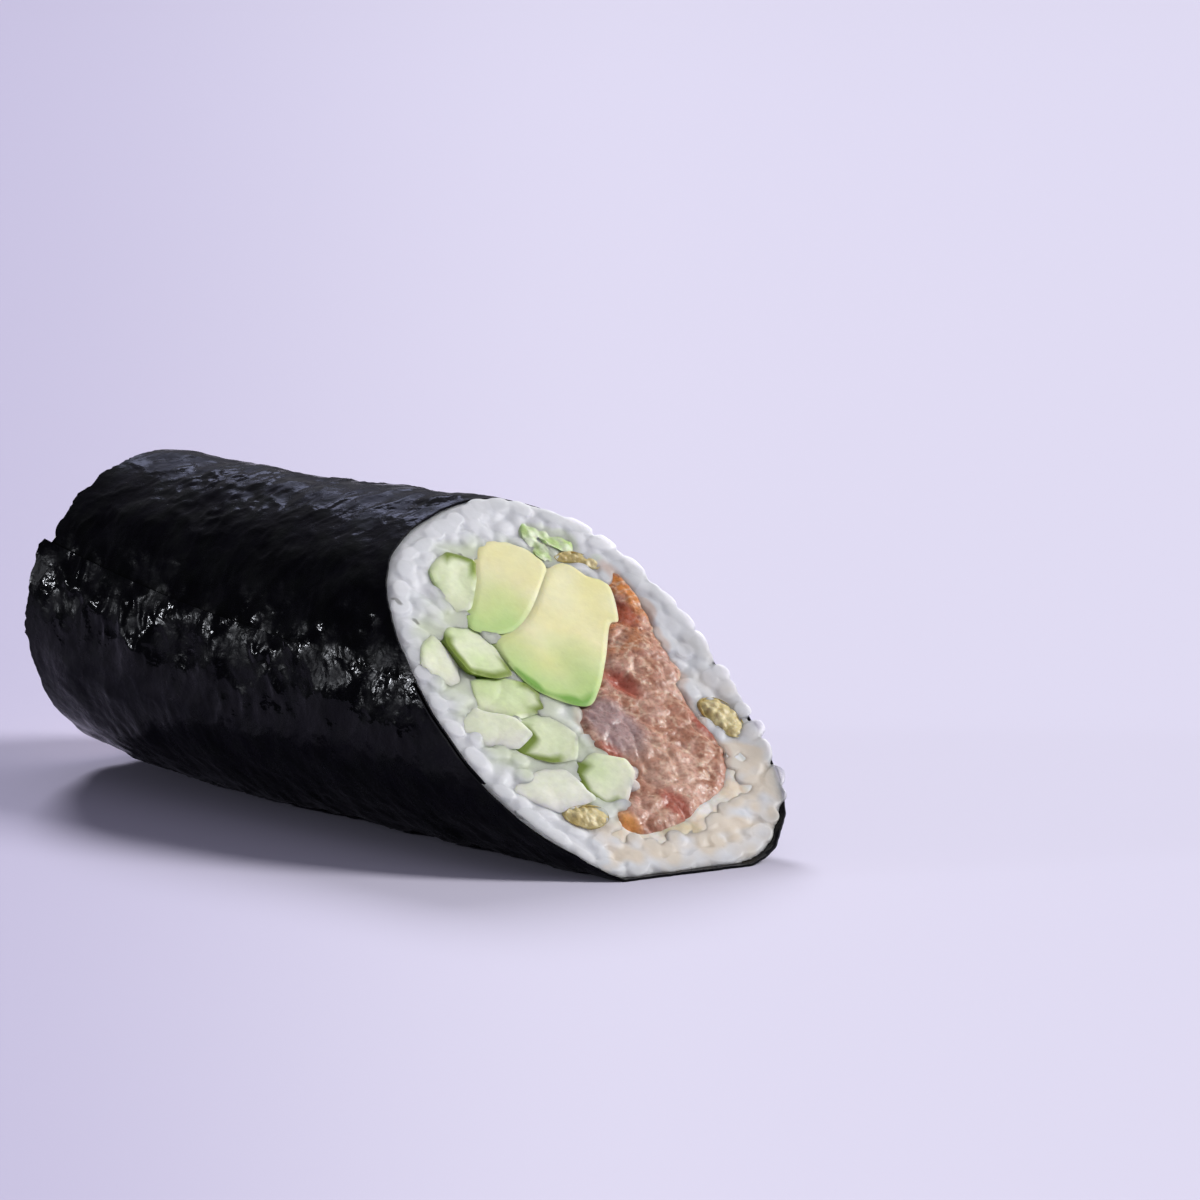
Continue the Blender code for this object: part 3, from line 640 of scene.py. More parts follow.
def filling(name, outline, relief, colors, material, recess, back_inside, length=None,
            beside=(), cell=CELL, rim=0.0003, rim_width=0.0005):
    """A filling with relief on both ends, recessed at the cut and standing in at the back."""
    outline = grown(outline, TOUCH)
    holes = [grown(other, TOUCH + BESIDE_GAP) for other in beside]
    solid = long_solid(trimmed_sheet(name, outline, holes, cell=cell))
    raw = points_of(solid)
    flat = raw[:, 1:]
    part = np.where(raw[:, 0] > -1e-4, FRONT, np.where(raw[:, 0] < -1.0 + 1e-4, BACK, MIDDLE))
    depth = nearest_on(outline, flat)[0]
    for hole in holes:
        depth = np.minimum(depth, nearest_on(hole, flat)[0])
    straight = stretched(raw, recess, back_inside, length)
    lift = relief(straight, depth, part) - rim * np.exp(-(depth / rim_width) ** 2)
    outward = np.where((part == FRONT)[:, None], OUT_OF[FRONT], OUT_OF[BACK])
    moved = straight + outward * np.where(part == MIDDLE, 0.0, lift)[:, None]
    set_points(solid, bent(moved))
    painted(solid, colors(straight, depth, part, lift))
    solid.data.materials.append(material)
    only(solid)
    bpy.ops.object.shade_smooth_by_angle(angle=math.radians(50))
    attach(solid, "root")
    faces = len(solid.data.polygons)
    print(name, faces, "faces, box", [round(v * 1000, 1) for v in solid.dimensions])
    return solid


print("fillings are", round(TOUCH * 1000, 2), "mm larger all round than their outlines")

# %% [markdown]
# Avocado is cut with a knife into wedges, so its face is nearly flat, with faint drag marks
# and soft corners. Its flesh goes from butter yellow near the stone to green near the skin,
# and a thin darker line is left where the skin was peeled off. A ramp along one axis would
# paint straight bands, so the colour follows the distance from the peeled side.

# %% Avocado's colours
SKIN_SIDE_1 = np.array(((-0.30, 0.13), (-0.24, 0.01), (-0.05, -0.07), (0.10, 0.00))) * ROLL_RADIUS
SKIN_SIDE_2 = np.array(((-0.33, 0.375), (-0.25, 0.34), (-0.10, 0.345))) * ROLL_RADIUS
YELLOW = (0.86, 0.81, 0.40)
PALE_YELLOW = (0.88, 0.85, 0.53)
GREEN = (0.52, 0.70, 0.27)
DEEP_GREEN = (0.20, 0.42, 0.07)


def line_distance(points, line):
    """The distance from each point across the roll to an open line."""
    flat = points[:, 1:]
    best = np.full(len(flat), 1e9)
    for start, end in zip(line[:-1], line[1:]):
        run = end - start
        share = np.clip(((flat - start) @ run) / (run @ run), 0.0, 1.0)[:, None]
        best = np.minimum(best, np.sqrt(((flat - start - share * run) ** 2).sum(axis=1)))
    return best


def avocado_colors(line, deep):
    """Yellow flesh that goes green towards the skin side, with a deep green line there."""
    def colors(points, depth, part, lift):
        near = line_distance(points, line) + 0.0010 * fbm(points, 0.005, 1)
        flesh = mixed(YELLOW, PALE_YELLOW, 0.5 + 0.9 * fbm(points, 0.006, 1))
        tinted = mixed(GREEN, flesh, (near - 0.0004) / 0.0085)
        return mixed(deep, tinted, (near + 0.0001) / 0.0008)
    return colors


print("the wedge was peeled along", len(SKIN_SIDE_1) - 1, "of its sides")

# %% Avocado
def avocado_relief(points, depth, part):
    """Soft swells and a few faint drag marks on a flat cut."""
    drag = points * np.array((0.3, 0.5, 1.6))
    return 0.00030 * fbm(points, 0.008, 1) + 0.00005 * fbm(drag, 0.0020, 1)


avocado_finish = finish("avocado_flesh", 0.45, specular=0.30, scatter=0.35,
                        scatter_radius=(1.0, 0.8, 0.35), scatter_scale=0.0010,
                        mottle=0.03, mottle_size=0.0016, bump=0.00003, bump_size=0.0007)
avocado_1 = filling("avocado_wedge", GREENS[0], avocado_relief,
                    avocado_colors(SKIN_SIDE_1, DEEP_GREEN), avocado_finish,
                    recess=-0.0003, back_inside=0.0004, rim=0.0002, rim_width=0.0003)
avocado_2 = filling("avocado_corner", GREENS[1], avocado_relief,
                    avocado_colors(SKIN_SIDE_2, GREEN), avocado_finish,
                    recess=-0.0001, back_inside=0.0012, rim=0.0002, rim_width=0.0003)
for piece, node in ((avocado_1, "avocado_1"), (avocado_2, "avocado_2")):
    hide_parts(node)

# %% [markdown]
# Cucumber sticks are wet and see-through, nearly white at the core and green at the skin.
# Their cut ends bulge a little, because the flesh swells out of the cut, and each stick is
# cut at its own slant, so some faces look up and some down. One stick could be copied eight
# times, but the eye finds copies, so short tables give each its own slant, skin and paleness.

# %% Cucumber's colours
CORE = (0.60, 0.75, 0.35)
FLESH = (0.79, 0.87, 0.58)
CREAMY_FLESH = (0.91, 0.93, 0.79)
SKIN = (0.21, 0.29, 0.05)
SKIN_LINES = {
    1: ((-0.14, 0.69), (-0.04, 0.67)),
    2: ((-0.59, 0.27), (-0.60, 0.15), (-0.47, 0.115), (-0.37, 0.13)),
    4: ((-0.32, -0.06), (-0.29, 0.02)),
    6: ((-0.51, -0.21), (-0.62, -0.265), (-0.52, -0.30)),
    7: ((-0.38, -0.39), (-0.41, -0.49), (-0.36, -0.555)),
}
STICK_PALENESS = (0.15, 0.15, 0.35, 0.0, 0.6, 0.35, 0.35, 0.75)


def edge(depth):
    """1 at the border of a face, 0 from a millimetre inside it."""
    return 1.0 - smoothstep(0.0, 0.0011, depth)


def cucumber_colors(number):
    """Pale flesh with a green line where the skin was left on."""
    line = SKIN_LINES.get(number)

    def colors(points, depth, part, lift):
        flesh = mixed(FLESH, CORE, 0.35 + 0.9 * fbm(points, 0.0055, 1) + 0.5 * edge(depth))
        flesh += (np.array(CREAMY_FLESH) - flesh) * STICK_PALENESS[number - 1]
        if line is None:
            return flesh
        near = line_distance(points, np.array(line) * ROLL_RADIUS)
        line_share = np.maximum((near - 0.0013) / 0.0014, (depth - 0.0005) / 0.0008)
        return mixed(SKIN, flesh, line_share)
    return colors


print(len(SKIN_LINES), "sticks keep some skin")

# %% Cucumber sticks
STICK_TILTS = (0.06, 0.14, -0.08, 0.06, -0.10, 0.10, 0.14, -0.06)
RECESSES = ((-0.0001, 0.0), (-0.0002, 0.0005), (0.0, 0.0010), (0.0001, 0.0),
            (-0.0001, 0.0005), (0.0, 0.0010), (-0.0002, 0.0), (0.0, 0.0005))


def cucumber_relief(number, middle, tilt, turn):
    """A face that leans its own way, with one or two soft ridges."""
    def relief(points, depth, part):
        across = (points[:, 1] - middle[0]) * math.cos(turn)
        across = across + (points[:, 2] - middle[1]) * math.sin(turn)
        facet = 0.00030 * np.abs(fbm(points + number, 0.0050, 1))
        return tilt * across + facet + 0.00006 * fbm(points, 0.0016, 1)
    return relief


cucumber_finish = finish("cucumber_flesh", 0.30, specular=0.40, scatter=0.8,
                         scatter_radius=(0.9, 1.0, 0.6), scatter_scale=0.0028,
                         mottle=0.05, mottle_size=0.0010, bump=0.00003, bump_size=0.0007)
for number, outline in enumerate(GREENS[2:], start=1):
    recess, back_inside = RECESSES[number - 1]
    relief = cucumber_relief(number, outline.mean(axis=0), STICK_TILTS[number - 1],
                             1.9 * number)
    stick = filling(f"cucumber_stick_{number}", outline, relief, cucumber_colors(number),
                    cucumber_finish, recess, back_inside, rim=0.00012, rim_width=0.00025,
                    beside=GREENS[:number + 1])
    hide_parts(f"cucumber_{number}")

# %% [markdown]
# The tuna is minced: soft lumps of fish pressed together and dressed with chilli, so it
# is brownish pink with orange edges, dark red spots and pale streaks of dressing, and its hollows
# carry painted shade in dark red.
# A heap of loose lumps would leave gaps, and pressed fish has none, so it is one face on
# which pebble noise gives the lumps and their creases, and finer noise the fibres on them.

# %% Tuna's colours
MEAT = (0.45, 0.22, 0.155)
BROWN = (0.33, 0.15, 0.095)
PINK = (0.57, 0.34, 0.27)
ORANGE = (0.62, 0.235, 0.06)
RED = (0.36, 0.06, 0.035)
DRESSING = (0.72, 0.52, 0.38)
GREY_PINK = (0.37, 0.26, 0.26)
LIGHT_MEAT = (0.58, 0.37, 0.28)
CHILLI = (0.72, 0.33, 0.10)
# Places and radii in roll radii, then each spot's colour, its strength and the most of it
TUNA_SPOTS = (
    (0.03, -0.20, 0.19, GREY_PINK, 2.2, 0.85),
    (0.12, -0.46, 0.22, LIGHT_MEAT, 1.0, 0.4),
    (0.65, 0.35, 0.10, RED, 1.6, 0.75),
    (0.30, 0.0, 0.10, RED, 1.6, 0.75),
    (-0.12, -0.34, 0.08, RED, 1.6, 0.75),
    (0.60, -0.24, 0.09, RED, 1.6, 0.75),
    (0.02, -0.60, 0.10, RED, 1.6, 0.75),
    (-0.34, -0.66, 0.08, CHILLI, 1.5, 1.0),
)


def spot_share(points, y, z, radius):
    """1 at a place of the section, falling to 0 at a radius, both in roll radii."""
    away = np.hypot(points[:, 1] / ROLL_RADIUS - y, points[:, 2] / ROLL_RADIUS - z)
    return np.clip(1.0 - away / radius, 0.0, 1.0)


def tuna_colors(points, depth, part, lift):
    """Brownish pink meat with orange edges above, red spots, pale streaks, and painted dark red
    shade in the hollows.
    """
    tint = fbm(points, 0.0034, 3)
    color = mixed(BROWN, MEAT, 0.75 + 1.7 * tint)
    color = mixed(color, PINK, 1.6 * fbm(points + 0.4, 0.0042, 3) + 0.25)
    fringe = np.clip((points[:, 2] / ROLL_RADIUS - 0.02) * 2.4, 0.10, 1.0)
    orange = np.clip(0.7 + 1.6 * fbm(points + 0.9, 0.0028, 2), 0.0, 1.0)
    color = mixed(color, ORANGE, fringe * orange)
    fibres = cells(points * np.array((1.0, 0.6, 1.3)) + 0.31, 0.0022)
    pale = np.clip(1.0 - fibres * 4.5, 0.0, 1.0)
    color = mixed(color, DRESSING, pale * np.clip(fbm(points, 0.005, 1) + 0.5, 0.0, 0.9))
    color = mixed(color, DRESSING, 2.4 * fbm(points + 0.7, 0.0010, 2) - 0.65 - 0.4 * fringe)
    color = mixed(color, BROWN, 2.4 * fbm(points + 1.3, 0.0013, 2) - 0.65)
    for y, z, radius, other, strength, most in TUNA_SPOTS:
        share = np.minimum(spot_share(points, y, z, radius) * strength, most)
        color = mixed(color, other, share)
    # The red that grows with how deep a point is sunk is painted shade in the hollows and along
    # the sunk rim.
    return mixed(color, RED, np.clip(-lift / 0.0012, 0.0, 1.0) * 0.4)


print(len(TUNA_SPOTS), "spots on the tuna")

# %% Tuna
HOLLOW = (0.30, 0.0, 0.09)


def tuna_relief(points, depth, part):
    """Lumps of minced fish with creases between them."""
    warp = points + 0.0010 * np.stack([fbm(points + shift, 0.003, 1)
                                       for shift in (0.0, 0.07, 0.13)], axis=1)
    lumps = cells(warp, 0.0050)
    hollow = spot_share(points, *HOLLOW)
    swell = np.clip(depth / 0.003, 0.0, 1.0) * 0.0007
    fibres = 0.00020 * fbm(points + 0.3, 0.0019, 2) + 0.00009 * np.abs(fbm(points, 0.0008, 1))
    return (swell + 0.00048 * (np.sqrt(lumps) - 0.7) + fibres
            + 0.00045 * fbm(points, 0.0075, 1) - 0.0010 * hollow)


tuna_finish = finish("minced_fish", 0.37, specular=0.32, scatter=0.40,
                     scatter_radius=(1.0, 0.45, 0.35), scatter_scale=0.0009,
                     mottle=0.14, mottle_size=0.0006, bump=0.00006, bump_size=0.0005,
                     bump_detail=3.0, rough_change=0.10)
tuna = filling("minced_tuna", TUNA_OUTLINE, tuna_relief, tuna_colors, tuna_finish,
               recess=0.0001, back_inside=0.0006, rim=0.0004, beside=(GREENS[0], GREENS[8]))
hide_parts("tuna")

# %% [markdown]
# Under the fish lies a streak of creamy dressing that has soaked into the rice around it.
# It could be poured as a fluid, but what shows is the rice that it covers, so its face is
# pebble noise the size of grains, drowned in cream.

# %% Dressing
CREAM = (0.80, 0.68, 0.54)
PALE_CREAM = (0.84, 0.81, 0.76)
OLIVE = (0.55, 0.46, 0.22)


def dressing_relief(points, depth, part):
    """Rice lumps under thick sauce."""
    lumps = np.sqrt(cells(points * np.array((1.0, 0.8, 1.0)), 0.0040))
    return 0.00030 * (lumps - 0.7) + 0.00030 * fbm(points, 0.0045, 2)


def dressing_colors(points, depth, part, lift):
    """Peach cream with an olive streak."""
    pale = 0.5 + 1.5 * fbm(points, 0.0035, 2) - 0.6 * (part != FRONT)
    streak = np.minimum(spot_share(points, -0.05, -0.76, 0.16) * 1.2, 0.5)
    return mixed(mixed(CREAM, PALE_CREAM, pale), OLIVE, streak)


dressing_finish = finish("creamy_dressing", 0.45, specular=0.25, scatter=0.6,
                         scatter_radius=(1.0, 0.7, 0.45), scatter_scale=0.0015,
                         mottle=0.05, bump=0.00005, bump_size=0.0008)
dressing = filling("creamy_streak", MAYO_OUTLINE, dressing_relief, dressing_colors,
                   dressing_finish, recess=0.0001, back_inside=0.0008, rim=0.00015,
                   beside=(TUNA_OUTLINE,))
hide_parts("mayo")

# %% [markdown]
# A frilly leaf is folded in above the avocado, and only its thin edge shows. A cloth could be
# simulated for it, but a strip that follows a short run of points makes the same edge.

# %% Leaf
LEAF_GREEN = (0.48, 0.64, 0.26)
LEAF_PALE = (0.74, 0.82, 0.60)
LEAF_CELL = (0.0002, 0.00015)


def ribbon(run, thickness):
    """The outline of a thin strip that follows a run of points."""
    run = np.array(run) * ROLL_RADIUS
    ahead = np.gradient(run, axis=0)
    normal = np.stack((-ahead[:, 1], ahead[:, 0]), axis=1)
    normal *= (thickness / 2.0 / np.linalg.norm(normal, axis=1))[:, None]
    return np.concatenate((run + normal, (run - normal)[::-1])) / ROLL_RADIUS


def leaf_relief(points, depth, part):
    """A torn, frilly edge."""
    return 0.0006 * fbm(points, 0.0025, 2)


def leaf_colors(points, depth, part, lift):
    """Fresh green, paler at the ribs."""
    return mixed(LEAF_GREEN, LEAF_PALE, 0.5 + 1.1 * fbm(points, 0.002, 2))


leaf_finish = finish("green_leaf", 0.42, specular=0.28, scatter=0.3,
                     scatter_radius=(0.6, 1.0, 0.3), scatter_scale=0.0008,
                     mottle=0.12, mottle_size=0.0009, bump=0.0001, bump_size=0.0006)
leaf = filling("folded_leaf", smooth_outline(ribbon(LEAF_RUN, 2.1 * LEAF_THICKNESS), 3),
               leaf_relief, leaf_colors, leaf_finish, recess=-0.0002, back_inside=0.0010,
               cell=LEAF_CELL, rim=0.0001)
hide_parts("leaf")

# %% [markdown]
# Crumbs of fried batter are bedded in the rice. They are porous, so fine pebble noise pits
# their faces, and painted light and shade makes them paler on the raised tops and darker in the
# pits.
# Random scattering would suit a spoonful of them, but only three show, so each has its own
# outline, and each ends about a centimetre behind the cut.

# %% Crumbs
CRUMB = (0.52, 0.41, 0.16)
CRUMB_PALE = (0.74, 0.65, 0.38)


def crumb_relief(points, depth, part):
    """Porous lumps."""
    dome = 0.0006 * np.clip(depth / 0.0016, 0.0, 1.0)
    return dome + 0.0005 * (cells(points, 0.0016) - 0.5)


def crumb_colors(points, depth, part, lift):
    """Olive gold, painted paler on raised tops and darker in the pits as light and shade."""
    # The share of the pale colour rises with the relief's height: this is painted light on the
    # tops and painted shade in the pits.
    return mixed(CRUMB, CRUMB_PALE, 0.4 + 600.0 * lift + 0.6 * fbm(points, 0.002, 2))


crumb_finish = finish("fried_batter", 0.40, specular=0.4, scatter=0.3,
                      scatter_radius=(1.0, 0.7, 0.3), scatter_scale=0.0008,
                      mottle=0.15, mottle_size=0.0006, bump=0.0001, bump_size=0.0004)
for number, (corners, length) in enumerate(zip(CRISPS, CRISP_LENGTHS), start=1):
    crumb = filling(f"crumb_{number}", smooth_outline(corners), crumb_relief, crumb_colors,
                    crumb_finish, recess=-0.0002, back_inside=0.0, length=length)
    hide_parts(f"crisp_{number}")

# %% [markdown]
# The rice is what makes the cut look real, and it can't be faked with a bump: every grain
# is a plump bean that sticks to its neighbours. One grain is modelled and copied hundreds
# of times at both ends of the roll, half sunk in a thin bed. A voxel remesh then fuses them,
# as cooked rice fuses, and the knife is imitated by pressing whatever stands proud of the
# cut back towards it.

# %% Room for rice
GRAIN_SEED = 21
RICE_INSET = 0.00055
NARROW_GAP = 0.0026
FAR_Y, FAR_Z = 0.966, 0.259
LIMIT = smooth_outline(
    CIRCLE * ((section_radius(CIRCLE_ANGLES) - RICE_INSET) / ROLL_RADIUS)[:, None], 1)
LONG_OUTLINES = GREENS + [TUNA_OUTLINE, MAYO_OUTLINE]
TUNA_INDEX, MAYO_INDEX, LEAF_INDEX = 10, 11, 12
LONG_OUTLINES.append(smooth_outline(ribbon(LEAF_RUN, LEAF_THICKNESS), 3))
CRISP_OUTLINES = [smooth_outline(corners) for corners in CRISPS]


def free_room(flat, outlines):
    """How far each point lies outside the nearest of the outlines."""
    free = np.full(len(flat), 1.0)
    for outline in outlines:
        free = np.minimum(free, -depth_in(outline, flat))
    return free


def gap_between(flat):
    """How wide the gap is between the two green pieces nearest to each point."""
    away = np.sort([nearest_on(outline, flat)[0] for outline in GREENS], axis=0)
    return away[0] + away[1]


def far_share(flat):
    """1 on the roll's far side and 0 on the near side, for places in the section."""
    length = np.maximum(np.hypot(flat[:, 0], flat[:, 1]), 1e-6)
    return np.clip(1.4 * (FAR_Y * flat[:, 0] + FAR_Z * flat[:, 1]) / length - 0.4, 0.0, 1.0)


def on_face(face, flat):
    """The places on the cut or the back face at places in the section."""
    ends = cut_x(flat[:, 0], flat[:, 1]) if face == FRONT else np.full(len(flat), BACK_X)
    return np.column_stack((ends, flat))


print("the rice keeps", RICE_INSET * 1000, "mm inside the nori's outer side")

# %% One grain
def one_grain():
    """A plump grain of short rice, one unit long, with a dent where the germ was."""
    deselect()
    bpy.ops.mesh.primitive_uv_sphere_add(segments=10, ring_count=8, radius=0.5)
    grain = bpy.context.object
    grain.name = "grain"
    points = points_of(grain)
    points[:, 0] *= 1.0 - 0.12 * (points[:, 2] + 0.5)
    points[:, 1] *= 0.88
    points[:, 0] += 0.20 * points[:, 2] ** 2
    set_points(grain, points)
    return grain


grain = one_grain()
print("one grain has", len(grain.data.polygons), "faces")

# %% Grain places
GRAIN_SPACING = 0.0023
GRAIN_RISES = (-0.0017, -0.0012)
GRAIN_CLEARANCE, GRAIN_INSET = 0.0002, 0.0014
TRIES_FOR_EACH_GRAIN = 40
RIM_STEPS = (0.0026, 0.0044)
RIM_INSET, RIM_RISE, RIM_CLEARANCE = 0.0018, -0.0008, 0.0005


def rim_places(face, outlines, overhang, draw):
    """A row of grains along the nori, which lean out over its far edge."""
    row = []
    angle = 0.0
    while angle < 2.0 * math.pi - 0.06:
        way = np.array(((math.cos(angle), math.sin(angle)),))
        far = far_share(way)[0] * (overhang > 0.0)
        inset = RIM_INSET - 0.8 * overhang * far + draw.normal(0.0, 0.00025)
        flat = way * (section_radius(np.array([angle])) - inset)
        rise = RIM_RISE + 0.0009 * far + draw.normal(0.0, 0.00015)
        if free_room(flat, outlines)[0] > RIM_CLEARANCE:
            row.append(on_face(face, flat)[0] + OUT_OF[face] * rise)
        angle += draw.uniform(*RIM_STEPS) / np.hypot(*flat[0])
    return row


def grain_places(outlines, face, wanted, draw, overhang):
    """Strews grains over one end, spaced apart: their places in the straight roll."""
    flat = draw.uniform(-1.16, 1.16, (wanted * TRIES_FOR_EACH_GRAIN, 2)) * ROLL_RADIUS
    skin = depth_in(LIMIT, flat)
    good = skin > GRAIN_INSET - overhang * far_share(flat)
    good &= free_room(flat, outlines) > GRAIN_CLEARANCE
    good[good] = gap_between(flat[good]) > NARROW_GAP
    flat, skin = flat[good], skin[good]
    rise = GRAIN_RISES[0] + (GRAIN_RISES[1] - GRAIN_RISES[0]) * draw.random(len(flat))
    rise += 0.5 * overhang * far_share(flat) * smoothstep(0.006, 0.0005, skin)
    chosen = rim_places(face, outlines, overhang, draw)
    for place in on_face(face, flat) + OUT_OF[face] * rise[:, None]:
        if len(chosen) == wanted:
            break
        if (((np.array(chosen) - place) ** 2).sum(axis=1) < GRAIN_SPACING ** 2).any():
            continue
        chosen.append(place)
    return np.array(chosen)


print("strewn grains keep", GRAIN_SPACING * 1000, "mm from one another")

# %% Strewn grains
GRAIN_WIDTHS = (0.0034, 0.0043)
GRAIN_LENGTHS = (0.0048, 0.0066)
GRAIN_TILT, LYING_SHARE = 0.26, 0.7
RIM_WIDTH = 0.0022


def strewn(name, places, normal, draw):
    """Copies of the grain at the places, lying mostly in the face, joined to one object."""
    across = Vector(normal).cross(Vector((0.0, 1.0, 0.0))).normalized()
    basis = Matrix((across, Vector(normal).cross(across), Vector(normal))).transposed()
    skin = depth_in(LIMIT, places[:, 1:])
    copies = []
    for i, place in enumerate(places):
        length = draw.uniform(*GRAIN_LENGTHS)
        width = draw.uniform(*GRAIN_WIDTHS)
        lying = draw.random() < LYING_SHARE
        lean = draw.normal(0.0, GRAIN_TILT) if lying else draw.uniform(-1.5, 1.5)
        turn = draw.uniform(0.0, 2.0 * math.pi)
        if skin[i] < RIM_WIDTH:
            rim_way = Vector((0.0, -place[2], place[1]))
            turn = math.atan2(rim_way.dot(basis.col[1]), rim_way.dot(basis.col[0]))
            turn += draw.normal(0.0, 0.4)
        lie = (basis.to_4x4() @ Matrix.Rotation(turn, 4, "Z")
               @ Matrix.Rotation(math.pi / 2.0 + lean, 4, "Y")
               @ Matrix.Rotation(draw.uniform(0.0, 2.0 * math.pi), 4, "Z")
               @ Matrix.Diagonal((width, width, length, 1.0)))
        mesh = grain.data.copy()
        mesh.transform(Matrix.Translation(Vector(place)) @ lie)
        copy = bpy.data.objects.new(f"{name}_{i}", mesh)
        bpy.context.collection.objects.link(copy)
        copies.append(copy)
    deselect()
    for copy in copies:
        copy.select_set(True)
    bpy.context.view_layer.objects.active = copies[0]
    bpy.ops.object.join()
    joined = bpy.context.object
    joined.name = name
    return joined


print("grains are", [length * 1000 for length in GRAIN_LENGTHS], "mm long")

# %% Rice colours
RICE_WHITE = (0.81, 0.82, 0.86)
RICE_SHADE = (0.66, 0.68, 0.70)
RICE_CREAM = (0.78, 0.66, 0.53)
RICE_PINK = (0.66, 0.46, 0.36)
RICE_GREEN = (0.66, 0.75, 0.48)
RICE_PAINTED_SHADE = (0.56, 0.53, 0.68)
SPECK = (0.12, 0.12, 0.10)
SPECK_PLACES = ((-0.67, 0.41), (-0.70, 0.52), (-0.08, 0.71))


def rice_colors(points, glassy=0.5):
    """White grains, creamy round the dressing, pink by the fish and greenish by the leaf, with
    painted lavender shade where they lean out past the rim.
    """
    flat = points[:, 1:]
    mottling = fbm(points, 0.0045, 2)
    color = mixed(RICE_WHITE, RICE_SHADE, glassy + 0.5 * mottling)
    mayo, fish, leaf_near = [-depth_in(LONG_OUTLINES[i], flat)
                             for i in (MAYO_INDEX, TUNA_INDEX, LEAF_INDEX)]
    low_right = np.clip((flat[:, 0] * 0.75 - flat[:, 1]) / ROLL_RADIUS - 0.35, 0.0, 1.0)
    cream = np.clip(1.1 - mayo / 0.0036 + 1.5 * mottling, 0.0, 1.0) * 0.9
    cream = np.maximum(cream, low_right * (0.6 + mottling))
    color = mixed(color, RICE_CREAM, np.minimum(cream, 0.9))
    color = mixed(color, RICE_PINK, np.minimum(0.8 - fish / 0.0011 + mottling, 0.65))
    color = mixed(color, RICE_GREEN, np.minimum(0.6 - leaf_near / 0.0024 + mottling, 0.5))
    green = smoothstep(3.0 * NARROW_GAP, 0.5 * NARROW_GAP, gap_between(flat) - 0.002 * mottling)
    color = mixed(color, RICE_GREEN, 0.8 * green)
    # Rice that leans out past the nori's rim is painted lavender: this is painted shade, because
    # that shoulder gets only bounce light.
    shade = smoothstep(-0.0004, -0.0011, depth_in(LIMIT, flat))
    color = mixed(color, RICE_PAINTED_SHADE, 0.8 * shade)
    for y, z in SPECK_PLACES:
        color = mixed(color, SPECK, np.minimum(spot_share(points, y, z, 0.02) * 3.0, 0.7))
    return color


rice_finish = finish("cooked_rice", 0.46, specular=0.28, scatter=1.0,
                     scatter_radius=(1.0, 0.97, 0.93), scatter_scale=0.0055,
                     mottle=0.03, mottle_size=0.0015, bump=0.00003, bump_size=0.0009)
print("rice has", len(SPECK_PLACES), "dark specks")

# %% [markdown]
# The bed is recessed from the cut, so that the grains stand out of it, but less in narrow
# gaps, by the dressing and at the rim, where real rice is pressed flush. On the far side the
# roll isn't pressed in, and there the rice leans out a little over the nori's edge.

# %% Bed of rice
RICE_RECESS, BED_DEPTH = 0.00035, 0.0030
SOFTEN_TIMES = 7


def rice_bed(name, face, outlines, overhang):
    """A thin bed of rice at the cut or at the back, with channels for the fillings."""
    channels = [grown(outline, -0.0003) for outline in outlines]
    bed = long_solid(trimmed_sheet(name, LIMIT, channels, cell=(0.0006, 0.0005)), ())
    points = points_of(bed)
    flat = points[:, 1:]
    base = on_face(face, flat)
    rim = overhang * far_share(flat) * (points[:, 0] > -0.5)
    near_rim = smoothstep(0.006, 0.0005, depth_in(LIMIT, flat))
    narrow = smoothstep(2.0 * NARROW_GAP, NARROW_GAP, gap_between(flat))
    saucy = smoothstep(0.002, 0.0005, -depth_in(MAYO_OUTLINE, flat))
    flush = np.maximum(np.maximum(narrow, saucy), 0.25 * near_rim)
    recess = RICE_RECESS * (1.0 - 0.9 * flush)
    base += OUT_OF[face] * (0.35 * rim * near_rim - recess)[:, None]
    away = base * np.array((0.0, 1.0, 1.0))
    away /= np.linalg.norm(away, axis=1)[:, None] + 1e-9
    base += away * (0.6 * rim * smoothstep(0.0030, 0.0, depth_in(LIMIT, base[:, 1:])))[:, None]
    inward = -BED_DEPTH if face == FRONT else BED_DEPTH
    base[:, 0] += np.where(points[:, 0] < -0.5, inward, 0.0)
    set_points(bed, base)
    return bed


def fused(bed, grains, voxel):
    """The grains joined to the bed and grown together with it."""
    deselect()
    grains.select_set(True)
    bed.select_set(True)
    bpy.context.view_layer.objects.active = bed
    bpy.ops.object.join()
    remesh = bed.modifiers.new("fuse", "REMESH")
    remesh.mode = "VOXEL"
    remesh.voxel_size = voxel
    bpy.ops.object.modifier_apply(modifier="fuse")
    soften = bed.modifiers.new("soften", "SMOOTH")
    soften.factor = 0.5
    soften.iterations = SOFTEN_TIMES
    bpy.ops.object.modifier_apply(modifier="soften")


print("the bed lies up to", RICE_RECESS * 1000, "mm behind the cut")

# %% The knife and the nori
LEFT_PROUD, LEFT_UNEVEN = 0.00024, 0.00012


def knifed(points, face, overhang):
    """Points pressed back towards the face, and how far each still stands proud of it."""
    flat = points[:, 1:]
    if face == FRONT:
        ahead = (points - np.array((CUT_X, 0.0, 0.0))) @ NORMAL
    else:
        ahead = BACK_X - points[:, 0]
    saucy = smoothstep(0.004, 0.0005, -depth_in(MAYO_OUTLINE, flat))
    knife = (LEFT_PROUD + LEFT_UNEVEN * fbm(points, 0.007, 1)) * (1.0 - 0.6 * saucy)
    knife += 0.5 * overhang * far_share(flat) * smoothstep(0.004, 0.001, depth_in(LIMIT, flat))
    pressed = np.where(ahead > 0.0, knife * np.tanh(ahead / knife), ahead)
    return points + OUT_OF[face] * (pressed - ahead)[:, None], pressed


